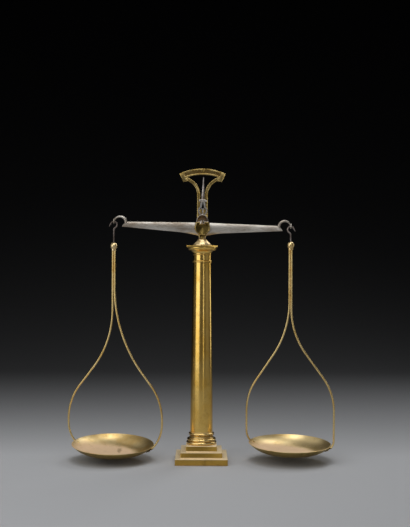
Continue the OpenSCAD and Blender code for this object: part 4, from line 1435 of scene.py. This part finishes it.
    def _pointer(self) -> Thing:
        """The pierced stem, cross-bar and tapering blade.

        Returns:
            The piece.
        """
        t, ring_z, bar_z, end = self.pointer_half_t, self.ring_z, self.bar_z, self.bar_half
        bar_low, inner = bar_z - end, self.ring_r - self.ring_rim
        knob_z, drop_z = ring_z + inner - 2.8, ring_z + self.ring_r - 2.7
        body = Bench.plate("web", upright(ring_z + 4.7, bar_low + 1, 6.2, 4.2), -t, t)
        ring = Bench.pin("ring", self.ring_r, (0, t, ring_z), (0, -t, ring_z), 72)
        body = Bench.combine(body, ring, "UNION")
        hole = Bench.pin("hole", inner, (0, t + 1, ring_z), (0, -t - 1, ring_z), 56)
        stay = Bench.plate("stay", upright(ring_z - 12, ring_z + 12, 1.4), -t - 2, t + 2)
        hole = Bench.combine(hole, stay)
        hole = Bench.combine(hole, Bench.pin("knob", 3.0, (0, t + 2, knob_z), (0, -t - 2, knob_z)))
        body = Bench.combine(body, hole)
        drop = arc(0, drop_z, 2.4, 165, 375, 20) + [(0.5, bar_low - 0.5), (-0.5, bar_low - 0.5)]
        body = Bench.soften(Bench.combine(body, Bench.plate("drop", drop, -t - 1, t + 1)), 0.8, 3)
        stem = Bench.soften(Bench.plate("stem", upright(10, ring_z - 8, 2.6, 2.2), -t, t), 0.3)
        ends = arc(5.8, bar_z, end, -90, 90, 12) + arc(-5.8, bar_z, end, 90, 270, 12)
        bar = Bench.soften(Bench.plate("bar", ends, -1.6, 1.6), 0.5, 3)
        blade = self._blade(bar_z, 3.5, 0.4, 88.0)
        tang = Bench.pin("tang", 1.6, (0, 0, 6), (0, 0, 10.5), 24)
        return Bench.join("pointer_and_blade", [body, stem, bar, blade, tang])

    @staticmethod
    def _blade(z0: float, foot: float, tip: float, z1: float) -> Thing:
        """The blade, thinned from its ridge to both edges.

        Args:
            z0: Height of its foot.
            foot: Half of its width there.
            tip: Half of its width at the tip.
            z1: Height of the tip.

        Returns:
            The piece.
        """
        Bench.clear()
        bpy.ops.mesh.primitive_circle_add(vertices=4, radius=1, fill_type="NGON", location=(0, 0, z0))
        bpy.ops.transform.resize(value=(foot, 0.9, 1))
        bpy.ops.object.transform_apply()
        Bench.edit()
        Bench.pull(0, 0, z1 - z0)
        bpy.ops.transform.resize(value=(tip / foot, 0.45, 1), center_override=(0, 0, z1))
        return Bench.close("blade")


@dataclass(frozen=True)
class Bends:
    """How one rod of a bow is bent."""

    flare: float
    flare_r: float
    tuck_r: float
    straight: float
    shoulder_r: float = 108.0


@dataclass
class Hanger:
    """Hook, ball, bow and pan of one side."""

    layout: Layout
    side: Side
    hook_len: float
    turn: float
    lean: float
    dip: float
    outer: Bends
    inner: Bends
    stain: float = 0.0
    wire_r: float = 1.5
    loop_r: float = 6.3
    foot_angle: float = 50.0
    crook_r: float = 5.0
    tip_len: float = 7.5
    shank_out: float = 1.85
    head_r: float = 2.6
    head_h: float = 1.8
    ball_r: float = 7.25
    collar_r: float = 4.8
    collar_drop: float = 9.6
    rod_r: float = 1.9
    rod_gap: float = 0.4
    foot_len: float = 14.0
    foot_w: float = 6.0
    foot_t: float = 2.2
    pan_r: float = 82.0
    pan_depth: float = 18.5
    pan_flat: float = 40.0
    wall: float = 1.2
    wall_steps: int = 28
    below_rim: float = 1.5
    rivet_in: float = 8.0
    rivet_r: float = 2.3
    seat: float = 0.05

    @property
    def body(self) -> str:
        """Name of the body of ball, bow and pan."""
        return self.side.word + "_pan_set"

    @property
    def wall_r(self) -> float:
        """Radius of the arc of the pan's wall."""
        return ((self.pan_r - self.pan_flat) ** 2 + self.pan_depth ** 2) / (2 * self.pan_depth)

    @property
    def wall_angle(self) -> float:
        """How far round the wall's arc goes, in degrees."""
        return degrees(asin((self.pan_r - self.pan_flat) / self.wall_r))

    def bow_place(self) -> Matrix:
        """Place of the bow's own coordinates, at the middle of the ball."""
        return (Matrix.Translation(self.layout.bearing(self.side))
                @ Matrix.Translation((0, 0, -self.hook_len))
                @ Matrix.Rotation(radians(-self.turn), 4, "Z"))

    def pan_place(self) -> Matrix:
        """Place of the pan's own coordinates, at the middle of its rim."""
        return (self.bow_place() @ Matrix.Translation((0, 0, -self.layout.bow_drop))
                @ Matrix.Rotation(radians(self.dip), 4, "Y")
                @ Matrix.Rotation(radians(self.lean), 4, "X"))

    def build(self, shop: Workshop) -> None:
        """Models and places everything that hangs on this side.

        Args:
            shop: The workshop.
        """
        word, pan_place = self.side.word, self.pan_place()
        mirror = Matrix.Scale(-1, 4, (1, 0, 0)) if self.side is Side.LEFT else Matrix.Identity(4)
        shop.place(self._hook(), word + "_hook", "dark_steel", "dark_wire", [word + "_hook"],
                   Matrix.Translation(self.layout.bearing(self.side)) @ mirror)
        shop.place(self._ball(), self.body, "bow_brass", "ball_brass", [word + "_swivel_ball"],
                   self.bow_place())
        for place in Side:
            self._place_rod(shop, place)
        middle = pan_place @ Vector((0, 0, 0))
        spun = replace(SPUN_BRASS, middle=tuple(v * MM for v in middle), stain=self.stain)
        shop.finish[spun.name] = spun.make()
        pan = shop.place(self._pan(), self.body, "pan_brass", spun.name, [word + "_pan"], pan_place)
        up = pan_place.to_3x3() @ Vector((0, 0, 1))
        # The downward-facing outside takes darker brass: tarnish, with painted shade under the pan.
        shop.line(pan, "pan_outside", lambda face: face.normal.dot(up) < UNDERSIDE)
        rivets = Bench.join(word + "_rivet_heads", [self._rivet(place) for place in Side])
        shop.place(rivets, self.body, "bow_brass", "drawn_brass", [word + "_pan_rivets"], pan_place)

    def _hook(self) -> Thing:
        """The hook of the right-hand side, with its bearing point at the origin.

        Returns:
            The piece.
        """
        loop_z = self.seat + self.wire_r - self.loop_r
        foot = radians(self.foot_angle)
        slant = (self.loop_r * cos(foot) - self.crook_r * (1 - cos(foot))) / sin(foot)
        loop = arc(0, loop_z, self.loop_r, 30, 180 + self.foot_angle, 40)
        tip = [(loop[0][0] + self.tip_len * k * 0.5, loop[0][1] - self.tip_len * k * 0.866)
               for k in (1.0, 0.8, 0.6, 0.4, 0.2)]
        end_x, end_z = loop[-1][0] + slant * sin(foot), loop[-1][1] - slant * cos(foot)
        crook = arc(end_x - self.crook_r * cos(foot), end_z - self.crook_r * sin(foot),
                    self.crook_r, self.foot_angle, 0, 12)
        shank_z = -self.hook_len - self.shank_out
        path = tip + loop + crook + [(0.0, shank_z)]
        sizes = [self.wire_r * (0.5 + 0.1 * i) for i in range(5)] + [self.wire_r] * (len(path) - 5)
        wire = Bench.tube("wire", [(x, 0.0, z) for x, z in path], sizes)
        head = Bench.pin("shank_head", self.head_r, (0, 0, shank_z), (0, 0, shank_z - self.head_h), 32)
        return Bench.join(self.side.word + "_wire_hook", [wire, head])

    def _ball(self) -> Thing:
        """The ball with its collar and a small eased hole at the top.

        Returns:
            The piece.
        """
        start = degrees(acos(self.collar_r / self.ball_r))
        profile = [(self.collar_r - 0.5, -self.collar_drop), (self.collar_r, -self.collar_drop + 0.4),
                   (self.collar_r, -self.ball_r * sin(radians(start)) - 0.3)]
        profile += arc(0, 0, self.ball_r, -start, 74, 30)
        profile += [(1.75, self.ball_r - 0.55), (1.6, self.ball_r - 1.2)]
        return Bench.turned(self.side.word + "_ball", profile, 72)

    def _end(self, dip: float) -> Point:
        """Place of a rod's end beside the rim, on a side that dips so far."""
        off = self.seat + 0.1 + self.rod_r
        lean, tilt = radians(self.wall_angle - dip), radians(dip)
        return (self.pan_r * cos(tilt) + off * sin(lean),
                -self.layout.bow_drop - self.pan_r * sin(tilt) - off * cos(lean))

    def _rod_path(self, dip: float, bends: Bends) -> list[Point]:
        """Centre line of a rod on the +X side, from the ball down.

        Args:
            dip: How far the pan dips on the rod's side.
            bends: How the rod is bent.

        Returns:
            Points from the ball to the rim.
        """
        tuck_angle = 90 - self.wall_angle + dip
        flare, tuck = radians(bends.flare), radians(tuck_angle)
        rod_x = self.rod_r + self.rod_gap / 2
        end_x, end_z = self._end(dip)
        both_r = bends.flare_r + bends.shoulder_r
        reach = end_x - rod_x - both_r * (1 - cos(flare)) + bends.tuck_r * (1 - cos(tuck))
        slant = reach / sin(flare)
        tuck_z = end_z + bends.tuck_r * sin(tuck)
        start = tuck_z + bends.straight + both_r * sin(flare) + slant * cos(flare)
        path = [(rod_x, -self.collar_drop + 2.8), (rod_x, (start - self.collar_drop) / 2)]
        path += arc(rod_x + bends.flare_r, start, bends.flare_r, 180, 180 + bends.flare, 40)
        x, z = path[-1][0] + slant * sin(flare), path[-1][1] - slant * cos(flare)
        cx, cz = x - bends.shoulder_r * cos(flare), z - bends.shoulder_r * sin(flare)
        path += arc(cx, cz, bends.shoulder_r, bends.flare, 0, 36)
        path += arc(cx + bends.shoulder_r - bends.tuck_r, tuck_z, bends.tuck_r, 0, -tuck_angle, 26)
        x, z = path[-1]
        return path + [(x - s * sin(tuck), z - s * cos(tuck)) for s in (1.5, 3)]

    def _place_rod(self, shop: Workshop, place: Side) -> None:
        """Models one rod with its flattened foot and places it.

        Args:
            shop: The workshop.
            place: The side of the bow that it is on.
        """
        kind, bends = ("outer", self.outer) if place is self.side else ("inner", self.inner)
        node = f"{self.side.word}_{kind}_rod"
        path = self._rod_path(place.value * self.dip, bends)
        sizes = [self.rod_r] * (len(path) - 2) + [self.rod_r * 0.85, self.rod_r * 0.6]
        bar = Bench.tube("bar", [(place.value * x, 0.0, z) for x, z in path], sizes)
        Bench.move(bar, self.bow_place())
        foot = Bench.move(self._foot(place), self.pan_place())
        piece = Bench.join(node + "_and_foot", [bar, foot])
        shop.place(piece, self.body, "bow_brass", "drawn_brass", [node])
        rim = (self.pan_place() @ Vector((place.value * self.pan_r, 0, 0))).z
        shade_and_dirt_z = (rim - self.below_rim) * MM
        # The foot below the rim takes dark brass: dirt with painted shade under the pan's rim.
        shop.line(piece, "patinated_brass", lambda face: face.center.z < shade_and_dirt_z)

    def _wall_point(self, below_rim: float, off: float) -> Point:
        """A point beside the wall's outside, some way below the rim."""
        angle = radians(self.wall_angle) - below_rim / self.wall_r
        return (self.pan_flat + (self.wall_r + off) * sin(angle),
                self.wall_r - self.pan_depth - (self.wall_r + off) * cos(angle))

    def _foot(self, place: Side) -> Thing:
        """The flattened foot that lies on the pan's outside, drawn thinner to its end.

        Args:
            place: The side of the bow.

        Returns:
            The piece.
        """
        steps = [self.foot_len * i / 12 for i in range(13)]
        thick = [self.foot_t * min(1.0, 0.55 + 0.9 * (1 - s / self.foot_len)) for s in steps]
        shape = [self._wall_point(s, self.seat + t) for s, t in zip(steps, thick)]
        shape += [self._wall_point(s, self.seat) for s in reversed(steps)]
        shape, half = [(place.value * x, z) for x, z in shape], self.foot_w / 2
        return Bench.soften(Bench.plate("foot", shape, -half, half), 0.7, 3)

    def _rivet(self, place: Side) -> Thing:
        """A domed rivet through foot and wall.

        Args:
            place: The side of the bow.

        Returns:
            The piece.
        """
        face = self.seat + self.foot_t
        points = [self._wall_point(self.rivet_in, off)
                  for off in (-self.wall - 0.1, -self.wall - 0.85, face - 0.1, face + 0.75)]
        ends = [(place.value * x, 0.0, z) for x, z in points]
        return Bench.join("rivet", [Bench.pin("head", self.rivet_r, *pair, 32, 0.5)
                                    for pair in (ends[:2], ends[2:])])

    def _pan(self) -> Thing:
        """The spun pan, with an eased rim.

        Returns:
            The piece.
        """
        depth, flat, wall_r, count = self.pan_depth, self.pan_flat, self.wall_r, self.wall_steps
        top, inner_r = wall_r - depth, wall_r - self.wall
        last = asin((self.pan_r - flat - 1.45) / inner_r)
        profile = [(flat * k, -depth) for k in (0.3, 0.7, 0.96)]
        profile += [(flat + wall_r * sin(a), top - wall_r * cos(a))
                    for a in angles(0, self.wall_angle, count)[:-1]]
        profile += [(self.pan_r, -0.35), (self.pan_r - 0.25, 0.0), (self.pan_r - 0.75, -0.05)]
        profile += [(flat + inner_r * sin(last * i / count), top - inner_r * cos(last * i / count))
                    for i in range(count, -1, -1)]
        profile += [(flat * k, self.wall - depth) for k in (0.96, 0.7, 0.3)]
        return Bench.turned(self.side.word + "_spun_pan", profile, 160)


@dataclass(frozen=True)
class Lamp:
    """One soft box, aimed at the middle of the scale.

    It stands so many degrees to the right of the camera's direction and above the level, so
    many metres away. Its glow is the brightness of its face.
    """

    name: str
    bearing: float
    rise: float
    away: float
    width: float
    height: float
    glow: float

    def place(self) -> None:
        """Adds the lamp."""
        data = bpy.data.lights.new(self.name, "AREA")
        data.shape = "RECTANGLE"
        data.size, data.size_y = self.width, self.height
        data.energy = self.glow * pi * self.width * self.height
        lamp = bpy.data.objects.new(self.name, data)
        bpy.context.scene.collection.objects.link(lamp)
        a, e = radians(self.bearing), radians(self.rise)
        offset = Vector((sin(a) * cos(e), -cos(a) * cos(e), sin(e))) * self.away
        lamp.location = Vector(LAMP_AIM) + offset
        lamp.rotation_euler = offset.to_track_quat("Z", "Y").to_euler()


LAMPS = (
    Lamp("left_box", -50, 18, 1.7, 1.45, 1.62, 1.25),
    Lamp("right_strip", 18, 12, 1.9, 0.24, 1.34, 1.1),
    Lamp("right_fill", 62, 14, 1.8, 1.4, 1.42, 0.11),
    Lamp("right_back_box", 116, 12, 1.8, 0.4, 1.2, 1.3),
    Lamp("left_back_box", -138, 50, 1.9, 0.9, 0.8, 0.6),
    Lamp("front_top_box", -8, 52, 1.8, 1.5, 0.8, 1.6),
    Lamp("back_box", 144, 44, 1.9, 0.7, 0.9, 3.2),
    Lamp("top_box", 4, 84, 1.4, 0.66, 0.5, 4.8),
)


@dataclass
class Studio:
    """Paper sweep, lamps and camera, in metres."""

    image: tuple[int, int] = (410, 527)
    distance: float = 1.8
    eye_height: float = 0.366
    focal_px: float = 900.0
    horizon_px: float = 277.6
    middle_px: float = 202.15
    roll: float = 0.27
    sensor_mm: float = 36.0
    sweep_front: float = -4.0
    sweep_back: float = 1.7
    sweep_bend: float = 0.8
    sweep_top: float = 3.4
    sweep_half: float = 5.0
    room_light: float = 0.09

    def build(self) -> None:
        """Sets up everything round the object."""
        self._sweep()
        self._world()
        for lamp in LAMPS:
            lamp.place()
        self._camera()

    def _sweep(self) -> None:
        """Floor and backdrop of one sheet with a wide bend."""
        bend, back = self.sweep_bend, self.sweep_back
        shape = [(self.sweep_front, 0.0), (back, 0.0), *arc(back, bend, bend, -90, 0, 24),
                 (back + bend, self.sweep_top)]
        Bench.draw([(-self.sweep_half, y, z) for y, z in shape])
        Bench.pull(2 * self.sweep_half, 0, 0)
        Bench.leave()
        sheet = bpy.context.object
        sheet.name = "studio_sweep"
        Bench.smooth(sheet, 60)
        sheet.data.materials.append(Backdrop().make())

    def _world(self) -> None:
        """An even, dim room light."""
        world = bpy.data.worlds.new("room")
        bpy.context.scene.world = world
        world.use_nodes = True
        inputs = world.node_tree.nodes["Background"].inputs
        inputs["Color"].default_value = (1.0, 0.98, 0.95, 1.0)
        inputs["Strength"].default_value = self.room_light

    def _camera(self) -> None:
        """The camera, level, at the photograph's place."""
        width, height = self.image
        data = bpy.data.cameras.new("camera")
        data.sensor_fit = "VERTICAL"
        data.sensor_height = self.sensor_mm
        data.lens = self.focal_px * self.sensor_mm / height
        data.shift_y = (self.horizon_px - height / 2) / height
        data.shift_x = (width / 2 - self.middle_px) / height
        data.clip_start = 0.05
        camera = bpy.data.objects.new("camera", data)
        bpy.context.scene.collection.objects.link(camera)
        camera.location = (0, -self.distance, self.eye_height)
        camera.rotation_euler = (pi / 2, radians(-self.roll), 0)
        bpy.context.scene.camera = camera


def main(frame: dict[str, Any]) -> None:
    """Builds the scale and its studio.

    Args:
        frame: The loaded model.
    """
    logging.basicConfig(level=logging.INFO, format="%(message)s")
    for name in ("Cube", "Light", "Camera"):
        if name in bpy.data.objects:
            bpy.data.objects.remove(bpy.data.objects[name])
    bpy.context.scene.view_settings.view_transform = "Standard"
    Studio().build()
    layout = Layout()
    left = Hanger(layout, Side.LEFT, hook_len=47.5, turn=17.0, lean=3.9, dip=2.5, stain=1.0,
                  outer=Bends(38.8, 187.0, 58.5, 7.0), inner=Bends(38.6, 276.0, 70.0, 7.0))
    right = Hanger(layout, Side.RIGHT, hook_len=36.2, turn=21.0, lean=2.2, dip=1.6,
                   outer=Bends(37.5, 148.0, 21.0, 57.0), inner=Bends(34.8, 190.0, 31.0, 40.0))
    shop = Workshop(frame)
    for assembly in (Stand(layout), Cheeks(layout), IndexFrame(layout), Beam(layout), left, right):
        assembly.build(shop)
    shop.dress("post_block", "patinated_brass")
    shop.dress("tie_rod", "filed_steel")
    LOG.info("%d pieces placed", shop.count)


if __name__ == "__main__":
    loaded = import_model()
    main(loaded)
    bpy.context.view_layer.update()
